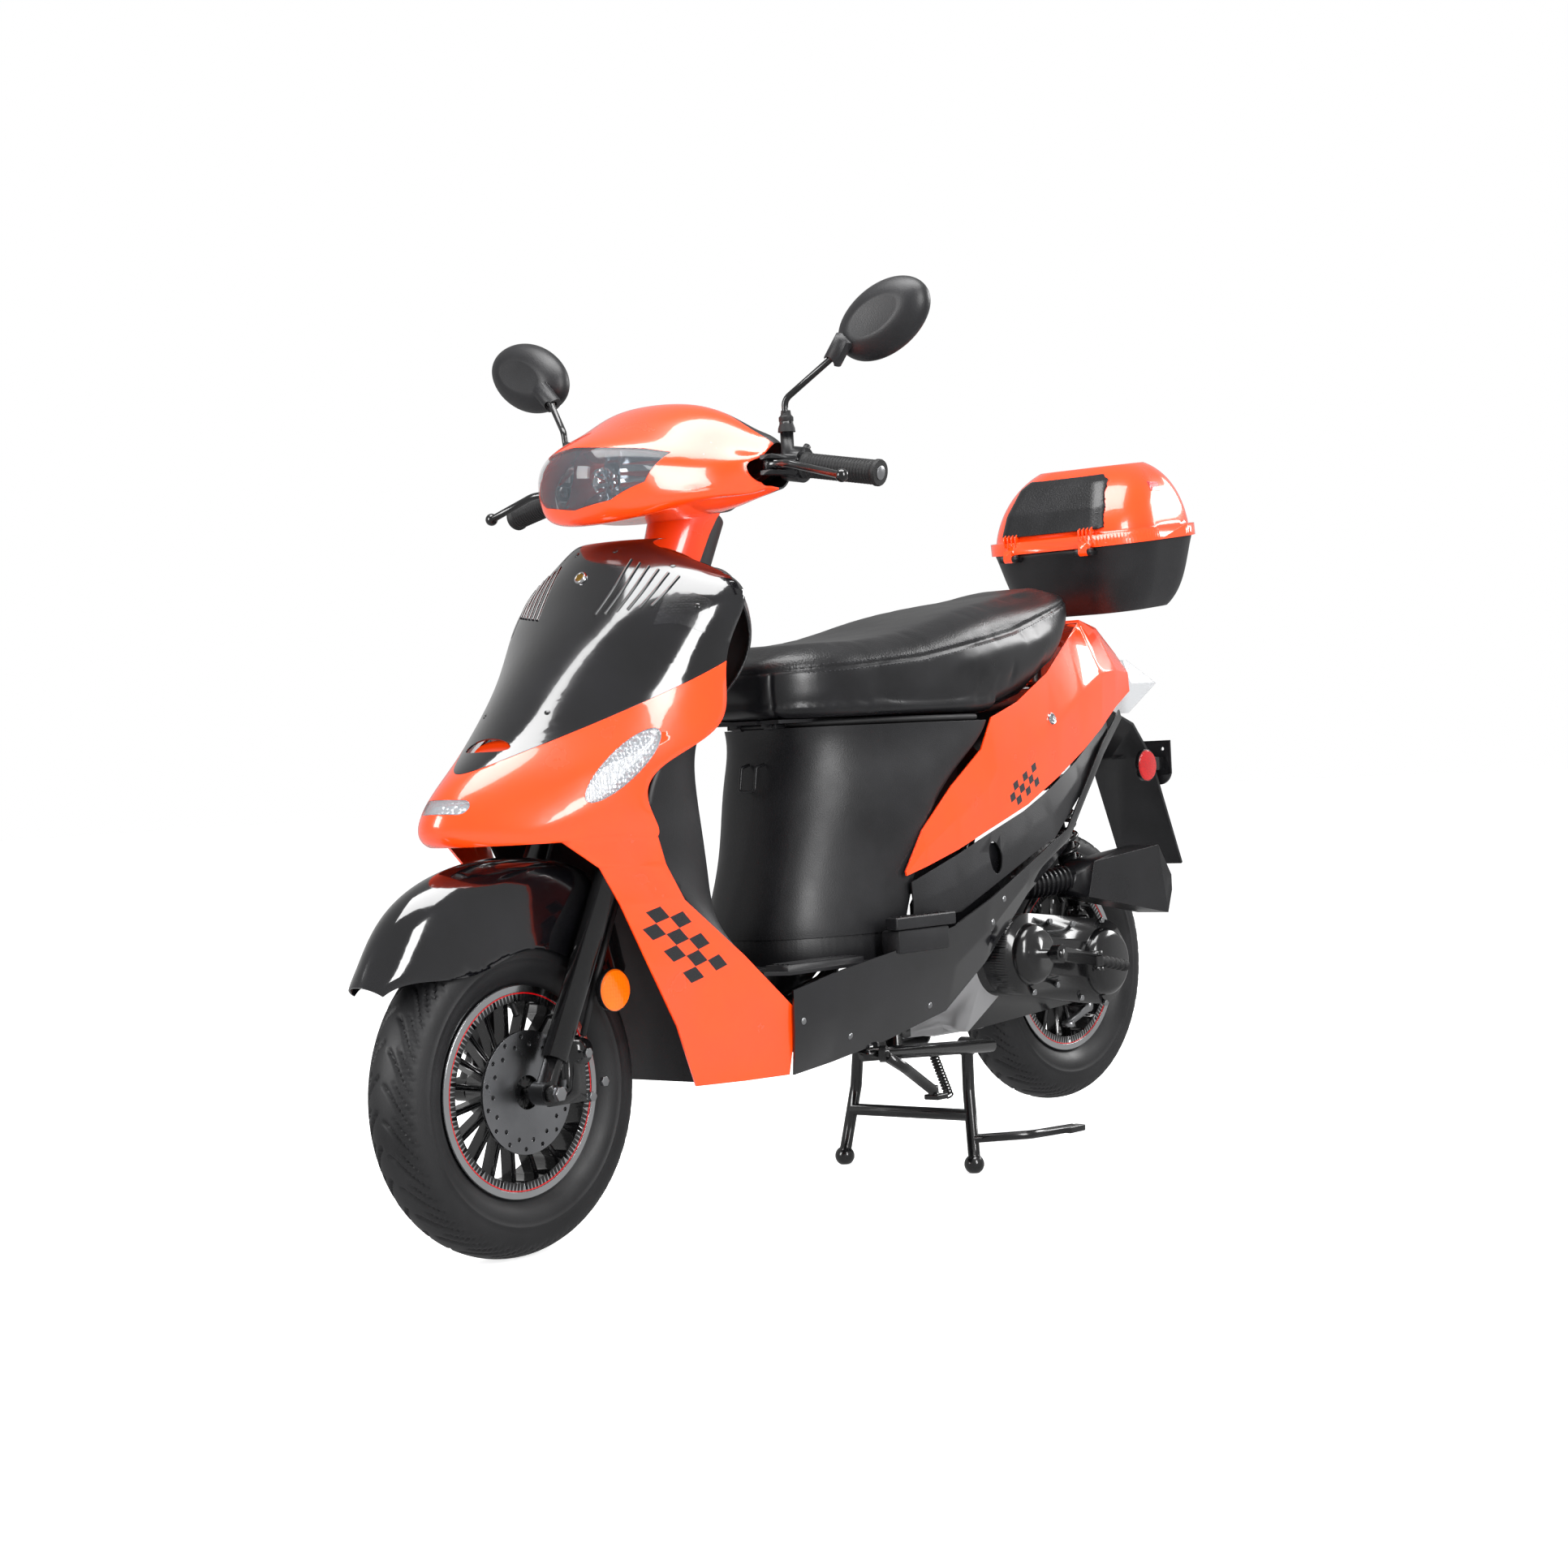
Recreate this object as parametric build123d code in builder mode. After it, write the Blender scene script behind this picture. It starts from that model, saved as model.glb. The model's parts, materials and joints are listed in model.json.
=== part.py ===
"""A 50 cc step-through moped scooter, parked on its centre stand.

The frame is in millimetres with +Z up. The scooter faces -Y, and its left side (the rider's left)
is +X. The origin is on the ground, under the middle of the whole scooter. The front wheel and the
two feet of the centre stand touch the ground, and the rear wheel hangs a little above it.
"""

import os
from math import cos, hypot, radians, sin

from build123d import *

os.makedirs("parts", exist_ok=True)

# ---- driving dimensions ------------------------------------------------------------------------
TYRE_R = 216.0  # 3.50-10 tyre, outside radius
TYRE_W = 45.0  # half the width of the tyre
FRONT_Y = -650.0  # front axle, along the scooter
REAR_Y = 582.0  # rear axle, along the scooter: the wheelbase is 1232
REAR_LIFT = 61.0  # how far the centre stand lifts the rear tyre off the ground
RAKE = 27.0  # lean of the steering axis from upright, in degrees
FORK_OFFSET = 30.0  # fork tubes stand this far ahead of the steering axis
FORK_X = 72.0  # fork tubes, either side of the middle
RIM_R = 138.5  # lip of the ten-inch rim
BEAD_R = 125.7  # where the tyre's bead sits
RUN = 0.05  # radial running clearance
WALL = 3.0  # moulded panels

FRONT_AXLE = Vector(0, FRONT_Y, TYRE_R)
REAR_AXLE = Vector(0, REAR_Y, TYRE_R + REAR_LIFT)
PIVOT = Vector(0, 100, 222)  # engine hanger bolt, which the swing unit turns on
STAND_PIVOT = Vector(0, 211, 186)  # centre stand

# The steering frame: z runs up the steering axis, x is the scooter's left, y is back and down.
STEER = Plane(
    origin=FRONT_AXLE + Vector(0, FORK_OFFSET * cos(radians(RAKE)), -FORK_OFFSET * sin(radians(RAKE))),
    x_dir=(1, 0, 0),
    z_dir=(0, sin(radians(RAKE)), cos(radians(RAKE))),
)


# ---- small helpers -----------------------------------------------------------------------------
def save(piece, label):
    """Labels a finished piece and writes it as parts/LABEL.step."""
    piece.part.label = label
    export_step(piece.part, f"parts/{label}.step")


def steered(x, y, z):
    """A point given in the steering frame, in the scooter's own frame."""
    return STEER.from_local_coords(Vector(x, y, z))


def tube(points, radius, bend=30.0):
    """A round bar along straight runs joined by bends of one radius."""
    with BuildPart() as bar:
        with BuildLine() as route:
            if len(points) == 2:
                Line(*points)
            else:
                FilletPolyline(*points, radius=bend)
        with BuildSketch(Plane(origin=route.line @ 0, z_dir=route.line % 0)):
            Circle(radius)
        sweep()
    return bar.part


def rod(start, end, radius, bore=0.0):
    """A round bar or a ring between two points."""
    start, end = Vector(start), Vector(end)
    with BuildPart() as bar:
        with BuildSketch(Plane(origin=start, z_dir=end - start)):
            Circle(radius)
            if bore:
                Circle(bore, mode=Mode.SUBTRACT)
        extrude(amount=(end - start).length)
    return bar.part


def block(low, high, round_edges=0.0):
    """A box between two corners, with its long edges rounded if asked."""
    size = [h - l for l, h in zip(low, high)]
    with BuildPart() as solid:
        with Locations(tuple((l + h) / 2 for l, h in zip(low, high))):
            Box(*size)
        if round_edges:
            fillet(solid.edges(), round_edges)
    return solid.part


def prism(plane, points, amount, both=False):
    """A polygon drawn on a plane and extruded."""
    with BuildPart() as solid:
        with BuildSketch(plane):
            Polygon(*points, align=None)
        extrude(amount=amount, both=both)
    return solid.part


def oval_prism(plane, rx, ry, amount, both=True):
    """An ellipse drawn on a plane and extruded."""
    with BuildPart() as solid:
        with BuildSketch(plane):
            Ellipse(rx, ry)
        extrude(amount=amount, both=both)
    return solid.part


def slot_prism(plane, length, height, amount):
    """A round-ended slot drawn on a plane and extruded both ways."""
    with BuildPart() as solid:
        with BuildSketch(plane):
            SlotOverall(length, height)
        extrude(amount=amount, both=True)
    return solid.part


def mirrored(part):
    """The same piece on the other side of the scooter."""
    return mirror(part, about=Plane.YZ)


def inward(points, wall):
    """The points of an open curve moved sideways by the wall, towards the curve's left."""
    moved = []
    for i, (x, y) in enumerate(points):
        before, after = points[max(i - 1, 0)], points[min(i + 1, len(points) - 1)]
        dx, dy = after[0] - before[0], after[1] - before[1]
        length = hypot(dx, dy)
        moved.append((x - dy / length * wall, y + dx / length * wall))
    return moved


def shell_face(plane, half, wall=WALL):
    """A thin symmetric section: half lists (x, y) from the free edge to the middle, where x is 0."""
    outer = list(half) + [(-x, y) for x, y in reversed(half[:-1])]
    inner = inward(outer, wall)
    with BuildSketch(plane) as section:
        with BuildLine():
            Spline(*outer)
            Line(outer[-1], inner[-1])
            Spline(*inner)
            Line(inner[0], outer[0])
        make_face()
    return section.sketch


def shell(sections, wall=WALL):
    """A thin-walled moulding lofted through sections, each a (plane, half outline) pair."""
    with BuildPart() as moulding:
        loft([shell_face(plane, half, wall).faces()[0] for plane, half in sections])
    return moulding.part


def slab(sections):
    """A solid lofted through rounded-rectangle or elliptical faces."""
    with BuildPart() as solid:
        loft([s.faces()[0] for s in sections])
    return solid.part


def oval(plane, rx, ry, cx=0.0, cy=0.0, turn=0.0):
    """An elliptical face."""
    with BuildSketch(plane) as face:
        with Locations(Location((cx, cy), turn)):
            Ellipse(rx, ry)
    return face.sketch


def rounded(plane, width, height, radius, cx=0.0, cy=0.0):
    """A rounded-rectangle face."""
    with BuildSketch(plane) as face:
        with Locations((cx, cy)):
            RectangleRounded(width, height, radius)
    return face.sketch


def level(z):
    """The horizontal plane at height z."""
    return Plane.XY.offset(z)


def across(y):
    """The upright plane across the scooter at y, with its own x along X and its y up."""
    return Plane(origin=(0, y, 0), x_dir=(1, 0, 0), z_dir=(0, -1, 0))


def beside(x):
    """The upright plane along the scooter at x, with its own x along Y and its y up."""
    return Plane(origin=(x, 0, 0), x_dir=(0, 1, 0), z_dir=(1, 0, 0))


# ---- wheels ------------------------------------------------------------------------------------
def make_tyre(axle):
    """A tyre as a hollow ring about its axle."""
    outer = [(27, 139.2), (40, 155), (44, 176), (34, 203), (0, TYRE_R)]
    inner = [(21, BEAD_R + 3), (23, 142), (34, 156), (37, 176), (28, 195), (0, TYRE_R - 11)]
    outer += [(-x, r) for x, r in reversed(outer[:-1])]
    inner += [(-x, r) for x, r in reversed(inner[:-1])]
    with BuildPart() as tyre:
        with BuildSketch(Plane(origin=axle, x_dir=(1, 0, 0), z_dir=(0, -1, 0))):
            with BuildLine():
                Spline(*outer)
                Polyline(outer[-1], (-27, BEAD_R + 0.2), inner[-1])
                Spline(*inner)
                Polyline(inner[0], (27, BEAD_R + 0.2), outer[0])
            make_face()
        revolve(axis=Axis(axle, (1, 0, 0)))
    return tyre


def make_rim(axle, hub_r, hub_half, bore, spokes=18):
    """A cast rim: a drop-centre barrel, straight spokes and a hub bored for its axle."""
    spoke_w, spoke_d, barrel_r = 8.5, 18.0, 117.0
    lip_x, seat_x = 31.0, 27.3
    plane = Plane(origin=axle, x_dir=(0, 0, 1), z_dir=(1, 0, 0))
    with BuildPart() as rim:
        with BuildSketch(Plane(origin=axle, x_dir=(1, 0, 0), z_dir=(0, -1, 0))):
            with BuildLine():
                Polyline(
                    (-lip_x, barrel_r), (-lip_x, RIM_R), (-seat_x, RIM_R), (-seat_x, BEAD_R),
                    (seat_x, BEAD_R), (seat_x, RIM_R), (lip_x, RIM_R), (lip_x, barrel_r), close=True,
                )
            make_face()
        revolve(axis=Axis(axle, (1, 0, 0)))
        with BuildSketch(plane.offset(-hub_half)):
            Circle(hub_r)
        extrude(amount=2 * hub_half)
        with BuildSketch(plane.offset(-spoke_d / 2)):
            with PolarLocations((hub_r + barrel_r) / 2, spokes):
                Rectangle(barrel_r - hub_r + 6, spoke_w)
        extrude(amount=spoke_d)
        with BuildSketch(plane.offset(-hub_half)):
            Circle(bore)
        extrude(amount=2 * hub_half, mode=Mode.SUBTRACT)
    return rim


AXLE_R = 6.0
front_tyre = make_tyre(FRONT_AXLE)
save(front_tyre, "front_tyre")
front_rim = make_rim(FRONT_AXLE, 36, 36, AXLE_R + RUN)
save(front_rim, "front_rim")
rear_tyre = make_tyre(REAR_AXLE)
save(rear_tyre, "rear_tyre")
REAR_SHAFT_R = 8.0
rear_rim = make_rim(REAR_AXLE, 62, 38, REAR_SHAFT_R + RUN)
save(rear_rim, "rear_rim")

DISC_X = 38.5
with BuildPart() as brake_disc:
    disc_plane = Plane(origin=FRONT_AXLE + Vector(DISC_X, 0, 0), x_dir=(0, 1, 0), z_dir=(1, 0, 0))
    with BuildSketch(disc_plane):
        Circle(80)
        Circle(22, mode=Mode.SUBTRACT)
        with PolarLocations(73, 15):
            Circle(3, mode=Mode.SUBTRACT)
        with PolarLocations(62, 15, start_angle=12):
            Circle(3, mode=Mode.SUBTRACT)
    extrude(amount=4)
save(brake_disc, "brake_disc")

# ---- fork --------------------------------------------------------------------------------------
SLIDER_R, FORK_TUBE_R = 13.0, 17.5
FORK_BOTTOM, CROWN_Z, CROWN_T = 46.0, 396.0, 26.0  # up the steering axis
STEM_R = 13.0

with BuildPart() as fork_sliders:
    for side in (1, -1):
        with BuildSketch(STEER.offset(0)):
            with Locations((side * FORK_X, -FORK_OFFSET)):
                Circle(SLIDER_R)
        extrude(amount=190)
        add(rod((side * (FORK_X - 12), FRONT_Y, TYRE_R), (side * (FORK_X + 12), FRONT_Y, TYRE_R), 16))
    add(rod((-90, FRONT_Y, TYRE_R), (90, FRONT_Y, TYRE_R), AXLE_R + 0.02), mode=Mode.SUBTRACT)
    # the axle bolt, with its head, its nut and a spacer on each side of the hub
    add(rod((-94, FRONT_Y, TYRE_R), (94, FRONT_Y, TYRE_R), AXLE_R))
    for side in (1, -1):
        add(rod((side * 85.3, FRONT_Y, TYRE_R), (side * 92, FRONT_Y, TYRE_R), 11))
        add(rod((side * 44.5, FRONT_Y, TYRE_R), (side * 58.8, FRONT_Y, TYRE_R), 9))
save(fork_sliders, "fork_sliders")

# The caliper hugs the back of the disc and bolts to a lug on the left slider.
with BuildPart() as brake_caliper:
    add(block((28, -604, 226), (60.5, -564, 282), 5))
    add(block((DISC_X - 1.5, -640, 220), (DISC_X + 5.5, -570, 296)), mode=Mode.SUBTRACT)
    add(rod((60, -576, 262), (74, -576, 262), 17))
    add(block((60, -633.9, 196), (66, -566, 216)))
    add(block((60, -596, 210), (66, -566, 280)))
save(brake_caliper, "brake_caliper")

with BuildPart() as fork_yoke:
    with BuildSketch(STEER.offset(FORK_BOTTOM)):
        with Locations((FORK_X, -FORK_OFFSET), (-FORK_X, -FORK_OFFSET)):
            Circle(FORK_TUBE_R)
    extrude(amount=CROWN_Z + CROWN_T - FORK_BOTTOM)
    with BuildSketch(STEER.offset(CROWN_Z)) as crown_outline:
        with Locations((FORK_X, -FORK_OFFSET), (-FORK_X, -FORK_OFFSET)):
            Circle(25)
        Circle(27)
        make_hull()
    extrude(amount=CROWN_T)
    with BuildSketch(STEER.offset(CROWN_Z + CROWN_T)):
        Circle(STEM_R)
    extrude(amount=390)
    with BuildSketch(STEER.offset(FORK_BOTTOM)):
        with Locations((FORK_X, -FORK_OFFSET), (-FORK_X, -FORK_OFFSET)):
            Circle(SLIDER_R + RUN)
    extrude(amount=215, mode=Mode.SUBTRACT)
save(fork_yoke, "fork_yoke")

HEAD_LOW, HEAD_HIGH, HEAD_R = 430.0, 690.0, 25.0  # head tube, up the steering axis

# ---- handlebar and its controls ----------------------------------------------------------------
BAR_R, GRIP_R = 11.0, 16.5
BAR_END, BAR_BEND, BAR_MIDDLE = Vector(341, -237, 1002), Vector(188, -252, 1030), Vector(70, -236, 985)
GRIP_DIR = (BAR_END - BAR_BEND).normalized()


def on_bar(distance, side=1):
    """A point on the outer straight of the handlebar, measured from its bend."""
    p = BAR_BEND + GRIP_DIR * distance
    return Vector(side * p.X, p.Y, p.Z)


BAR_PATH = [BAR_END, BAR_BEND, BAR_MIDDLE, Vector(-70, -236, 985), Vector(-188, -252, 1030),
            Vector(-341, -237, 1002)]
with BuildPart() as handlebar:
    add(tube(BAR_PATH, BAR_R, 28))
    add(rod(steered(0, 0, 740), steered(0, 0, 880), 17))
    add(rod(steered(0, 0, 735), steered(0, 0, 815), STEM_R + 0.02), mode=Mode.SUBTRACT)
save(handlebar, "handlebar")

with BuildPart() as left_grip:
    add(rod(on_bar(36.5), on_bar(156), GRIP_R, BAR_R + RUN))
    add(rod(on_bar(155), on_bar(162), GRIP_R + 1))
    add(rod(on_bar(150), on_bar(156.6), BAR_R + RUN), mode=Mode.SUBTRACT)
save(left_grip, "left_grip")
with BuildPart() as throttle_grip:
    add(rod(on_bar(36.5, -1), on_bar(156, -1), GRIP_R, BAR_R + RUN))
    add(rod(on_bar(155, -1), on_bar(162, -1), GRIP_R + 1))
    add(rod(on_bar(150, -1), on_bar(156.6, -1), BAR_R + RUN), mode=Mode.SUBTRACT)
save(throttle_grip, "throttle_grip")

MIRROR_BASE, MIRROR_BALL = Vector(206, -262, 1068), Vector(268, -230, 1166)
# Each switch box clamps round the bar and carries the lever's pivot ears at its front.
LEVER_PIVOT = Vector(198, -291, 1027)
with BuildPart() as switch_boxes:
    for side in (1, -1):
        add(rod(on_bar(9, side), on_bar(36, side), 24))
        add(rod(on_bar(0, side), on_bar(40, side), BAR_R + 0.02), mode=Mode.SUBTRACT)
        for z in (1011, 1032):
            add(block(
                (min(side * 190, side * 210), -302, z), (max(side * 190, side * 210), -268, z + 6)
            ))
        x = side * MIRROR_BASE.X
        add(rod((x, MIRROR_BASE.Y, 1036), (x, MIRROR_BASE.Y, MIRROR_BASE.Z), 9))
    for side in (1, -1):
        pivot = Vector(side * LEVER_PIVOT.X, LEVER_PIVOT.Y, 1000)
        add(rod(pivot, pivot + Vector(0, 0, 50), 4.02), mode=Mode.SUBTRACT)
        # a pocket for the push button on the rider's side
        face = on_bar(24, side) + Vector(0, 12, 14)
        add(rod(face, face + Vector(0, 12, 12), 5.1), mode=Mode.SUBTRACT)
        add(rod(face + Vector(0, 4, -18), face + Vector(0, 20, -18), 4.1), mode=Mode.SUBTRACT)
        add(rod(on_bar(-4, side), on_bar(40, side), BAR_R + 0.02), mode=Mode.SUBTRACT)
save(switch_boxes, "switch_boxes")


LEVER_EYE = Vector(LEVER_PIVOT.X, LEVER_PIVOT.Y, 1025)
with BuildPart() as brake_lever_left:
    add(rod(LEVER_EYE + Vector(0, 0, -7.5), LEVER_EYE + Vector(0, 0, 6.5), 9.5))
    add(tube([LEVER_EYE, Vector(240, -304, 1022), Vector(329, -301, 997)], 5.2, 40))
    with Locations((329, -301, 997)):
        Sphere(9)
    add(rod(LEVER_EYE + Vector(0, 0, -13.9), LEVER_EYE + Vector(0, 0, 13), 4.0))
save(brake_lever_left, "brake_lever_left")
with BuildPart() as brake_lever_right:
    add(mirrored(brake_lever_left.part))
save(brake_lever_right, "brake_lever_right")


def make_button(side, low):
    """A push button standing in its switch box."""
    face = on_bar(24, side) + Vector(0, 12, 14)
    with BuildPart() as button:
        if low:
            add(rod(face + Vector(0, 8, -18), face + Vector(0, 17, -18), 4.0))
        else:
            add(rod(face + Vector(0, 3, 3), face + Vector(0, 11.5, 11.5), 5.0))
    return button


save(make_button(1, False), "turn_signal_switch")
save(make_button(1, True), "horn_button")
save(make_button(-1, False), "light_switch")
save(make_button(-1, True), "starter_button")

# ---- mirrors -----------------------------------------------------------------------------------
# A bent steel stem with a lock nut at its foot and a ball at its head.
with BuildPart() as mirror_stem_left:
    add(rod(MIRROR_BASE + Vector(0, 0, 0.3), MIRROR_BASE + Vector(0, 0, 20), 9.5))
    add(tube([MIRROR_BASE + Vector(0, 0, 1), MIRROR_BASE + Vector(2, -4, 44), MIRROR_BALL], 4.5, 18))
    with Locations(MIRROR_BALL):
        Sphere(8)
save(mirror_stem_left, "mirror_stem_left")
with BuildPart() as mirror_stem_right:
    add(mirrored(mirror_stem_left.part))
save(mirror_stem_right, "mirror_stem_right")

# A dished housing with a socket for the ball, and the glass in its back.
GLASS = Plane(origin=(334, -200, 1210), x_dir=(0.93, 0.02, 0.37), z_dir=(0, -1, 0.06))
with BuildPart() as mirror_head_left:
    loft([oval(GLASS.offset(h), a, b).faces()[0] for h, a, b in ((-9, 74, 46), (4, 77, 49), (18, 68, 40), (27, 40, 20))])
    with BuildSketch(GLASS.offset(-9)):
        Ellipse(70, 42)
    extrude(amount=4, mode=Mode.SUBTRACT)
    add(rod(MIRROR_BALL - Vector(5, -3, 6), MIRROR_BALL + Vector(20, 0, 22), 13))
    with Locations(MIRROR_BALL):
        Sphere(8.06, mode=Mode.SUBTRACT)
    add(rod(MIRROR_BALL, MIRROR_BALL - Vector(26, 16, 46), 9.2), mode=Mode.SUBTRACT)
    with BuildSketch(GLASS.offset(-8.6)):
        Ellipse(69.6, 41.6)
    extrude(amount=3.3)
save(mirror_head_left, "mirror_head_left")
with BuildPart() as mirror_head_right:
    add(mirrored(mirror_head_left.part))
save(mirror_head_right, "mirror_head_right")

# ---- frame -------------------------------------------------------------------------------------
with BuildPart() as frame:
    add(rod(steered(0, 0, HEAD_LOW), steered(0, 0, HEAD_HIGH), HEAD_R))
    add(tube([steered(0, 0, 505), steered(0, 66, 440), (0, -345, 440), (0, -345, 262), (0, 30, 262)], 18, 36))
    add(rod((-112, 20, 262), (112, 20, 262), 15))
    for side in (1, -1):
        rail = [(105, 20, 262), (105, 150, 290), (105, 262, 560), (66, 640, 720)]
        run = tube(rail, 12, 60)
        stand_tube = rod((124, -60, 203), (124, 245, 184), 10)
        web = block((111, 5, 196), (121, 35, 275))
        hanger = prism(beside(70), [(5, 250), (12, 275), (112, 234), (112, 210), (98, 208)], 6)
        stand_pin = rod((91, STAND_PIVOT.Y, STAND_PIVOT.Z), (124, STAND_PIVOT.Y, STAND_PIVOT.Z), 6)
        for piece in (run, stand_tube, web, hanger, stand_pin):
            add(piece if side > 0 else mirrored(piece))
    add(rod((-76, PIVOT.Y, PIVOT.Z), (76, PIVOT.Y, PIVOT.Z), 6))
    # the side stand's bolt on the left, and the shock's upper pin on its plate
    add(rod((128, -54, 203), (155, -40.3, 203), 5))
    add(block((88, 486, 588), (95, 514, 668)))
    add(rod((62, 500, 600), (90, 500, 600), 6))
    # the bridge under the seat's tail, which carries the rack
    add(rod((-66, 640, 720), (66, 640, 720), 10))
    add(block((-50, 628, 726), (50, 652, 734)))
    for side in (1, -1):
        add(rod((side * 40, 640, 730), (side * 40, 640, 812), 8))
    add(rod(steered(0, 0, HEAD_LOW - 30), steered(0, 0, HEAD_HIGH + 5), STEM_R + RUN), mode=Mode.SUBTRACT)
save(frame, "frame")

# ---- front bodywork ----------------------------------------------------------------------------
SPLIT = Plane(origin=(0, -704, 629), x_dir=(1, 0, 0), z_dir=(0, -0.384, 0.923))


def half_space(plane, up):
    """A very large block on one side of a plane."""
    with BuildPart() as big:
        with BuildSketch(plane):
            Rectangle(1400, 1400)
        extrude(amount=1400 if up else -1400)
    return big.part


def above(part, plane, gap=0.15):
    """What lies above a plane, a small gap away from it."""
    return part & half_space(plane.offset(gap), True)


def below(part, plane, gap=0.15):
    """What lies below a plane, a small gap away from it."""
    return part & half_space(plane.offset(-gap), False)


NOSE = [
    (934, [(78, -372), (60, -395), (35, -408), (0, -413)]),
    (890, [(150, -362), (110, -418), (60, -446), (0, -457)]),
    (844, [(195, -352), (160, -420), (90, -470), (0, -492)]),
    (775, [(185, -380), (168, -440), (100, -512), (0, -552)]),
    (705, [(190, -394), (172, -458), (110, -552), (0, -614)]),
    (629, [(172, -500), (150, -560), (80, -650), (0, -704)]),
    (575, [(165, -524), (140, -590), (85, -686), (0, -755)]),
    (536, [(160, -508), (130, -570), (85, -676), (0, -734)]),
]
front_skin = shell([(level(z), half) for z, half in NOSE], -3.5)
with BuildPart() as centre_panel:
    add(above(front_skin, SPLIT))
    # the air slot low in the panel, and the charging lock's hole above
    slot_face = Plane(origin=(0, -660, 668), x_dir=(1, 0, 0), z_dir=(0, -0.82, 0.57))
    add(oval_prism(slot_face, 40, 13, 30), mode=Mode.SUBTRACT)
save(centre_panel, "centre_panel")

LEG = [
    (541, [(160, -508), (136, -560), (106, -638)]),
    (500, [(160, -494), (146, -535), (124, -581)]),
    (451, [(159, -460), (150, -508), (135, -557)]),
    (369, [(157, -345), (152, -430), (140, -514)]),
    (283, [(151, -233), (146, -350), (130, -454)]),
    (197, [(148, -252), (135, -330), (110, -401)]),
]
with BuildPart() as leg_shield:
    faces = []
    for z, line in LEG:
        with BuildSketch(level(z)) as strip:
            with BuildLine():
                Polyline(*line, *reversed(inward(line, -3.5)), close=True)
            make_face()
        faces.append(strip.sketch.faces()[0])
    loft(faces, ruled=True)
INDICATOR = Plane(origin=(146, -552, 631), x_dir=(0.32, 0.72, 0.615), z_dir=(0.91, -0.4, 0.1))
NOSE_LAMP = Plane(origin=(0, -740, 588), x_dir=(1, 0, 0), z_dir=(0, -1, 0.1))
with BuildPart() as front_shield:
    add(below(front_skin, SPLIT))
    add(leg_shield.part)
    add(mirrored(leg_shield.part))
    for side in (1, -1):
        hole = oval_prism(INDICATOR, 72, 21, 40)
        add(hole if side > 0 else mirrored(hole), mode=Mode.SUBTRACT)
    add(slot_prism(NOSE_LAMP, 84, 20, 50), mode=Mode.SUBTRACT)
save(front_shield, "front_shield")

lamp_skin = below(front_skin, SPLIT)
with BuildPart() as front_lamps:
    lens = lamp_skin & oval_prism(INDICATOR, 71.6, 20.6, 40)
    add(lens)
    add(mirrored(lens))
    add(lamp_skin & slot_prism(NOSE_LAMP, 83.2, 19.2, 50))
save(front_lamps, "front_lamps")

INNER = [
    (892, [(131, -350), (110, -304), (62, -258), (0, -241)]),
    (844, [(184, -346), (148, -300), (80, -270), (0, -260)]),
    (714, [(176, -388), (163, -368), (90, -328), (0, -318)]),
    (600, [(157, -513), (149, -445), (95, -362), (0, -348)]),
    (470, [(149, -468), (143, -433), (90, -338), (0, -322)]),
    (400, [(148, -392), (143, -370), (90, -328), (0, -314)]),
    (343, [(146, -302), (140, -298), (90, -305), (0, -308)]),
]
with BuildPart() as inner_leg_shield:
    add(shell([(level(z), half) for z, half in INNER], 3.0))
    # the wheel's own splash wall, a separate moulding in front of the frame tube
    with BuildSketch(beside(-108)):
        Polygon((-391, 476), (-387, 430), (-375, 300), (-364, 197), (-361, 197), (-372, 300), (-384, 430),
                (-388, 476), align=None)
    extrude(amount=216)
    add(rod((52, -300, 860), (52, -250, 860), 13.4))
    add(rod((52, -310, 860), (52, -240, 860), 9.05), mode=Mode.SUBTRACT)
save(inner_leg_shield, "inner_leg_shield")

with BuildPart() as ignition_key:
    add(rod((52, -296, 860), (52, -246, 860), 9.0))
    add(block((50.8, -247, 853), (53.2, -220, 867)))
save(ignition_key, "ignition_key")

# ---- front fender ------------------------------------------------------------------------------
def wheel_plane(degrees_up):
    """The plane through the front axle and a spoke this many degrees up from straight ahead."""
    a = radians(degrees_up)
    return Plane(origin=FRONT_AXLE, x_dir=(1, 0, 0), z_dir=(0, -sin(a), -cos(a)))


FENDER = [
    (32.5, [(28, 268), (24, 280), (12, 290), (0, 292)]),
    (45, [(45, 222), (42, 262), (24, 290), (0, 300)]),
    (61, [(52, 183), (51, 242), (32, 292), (0, 306)]),
    (92, [(53, 184), (53, 244), (40, 292), (0, 303)]),
    (114, [(53, 184), (53, 250), (44, 303), (0, 303)]),
    (128, [(53, 183), (53, 235), (42, 280), (0, 288)]),
    (143, [(52, 182), (51, 218), (36, 250), (0, 258)]),
]
with BuildPart() as front_fender:
    add(shell([(wheel_plane(a), half) for a, half in FENDER], 2.5))
save(front_fender, "front_fender")

with BuildPart() as brake_hose:
    top, low = steered(72, -3, 395.7), Vector(72, -574, 282)
    add(tube([top, steered(72, -2, 300), steered(72, 2, 170), low], 4, 60))
save(brake_hose, "brake_hose")

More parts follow.
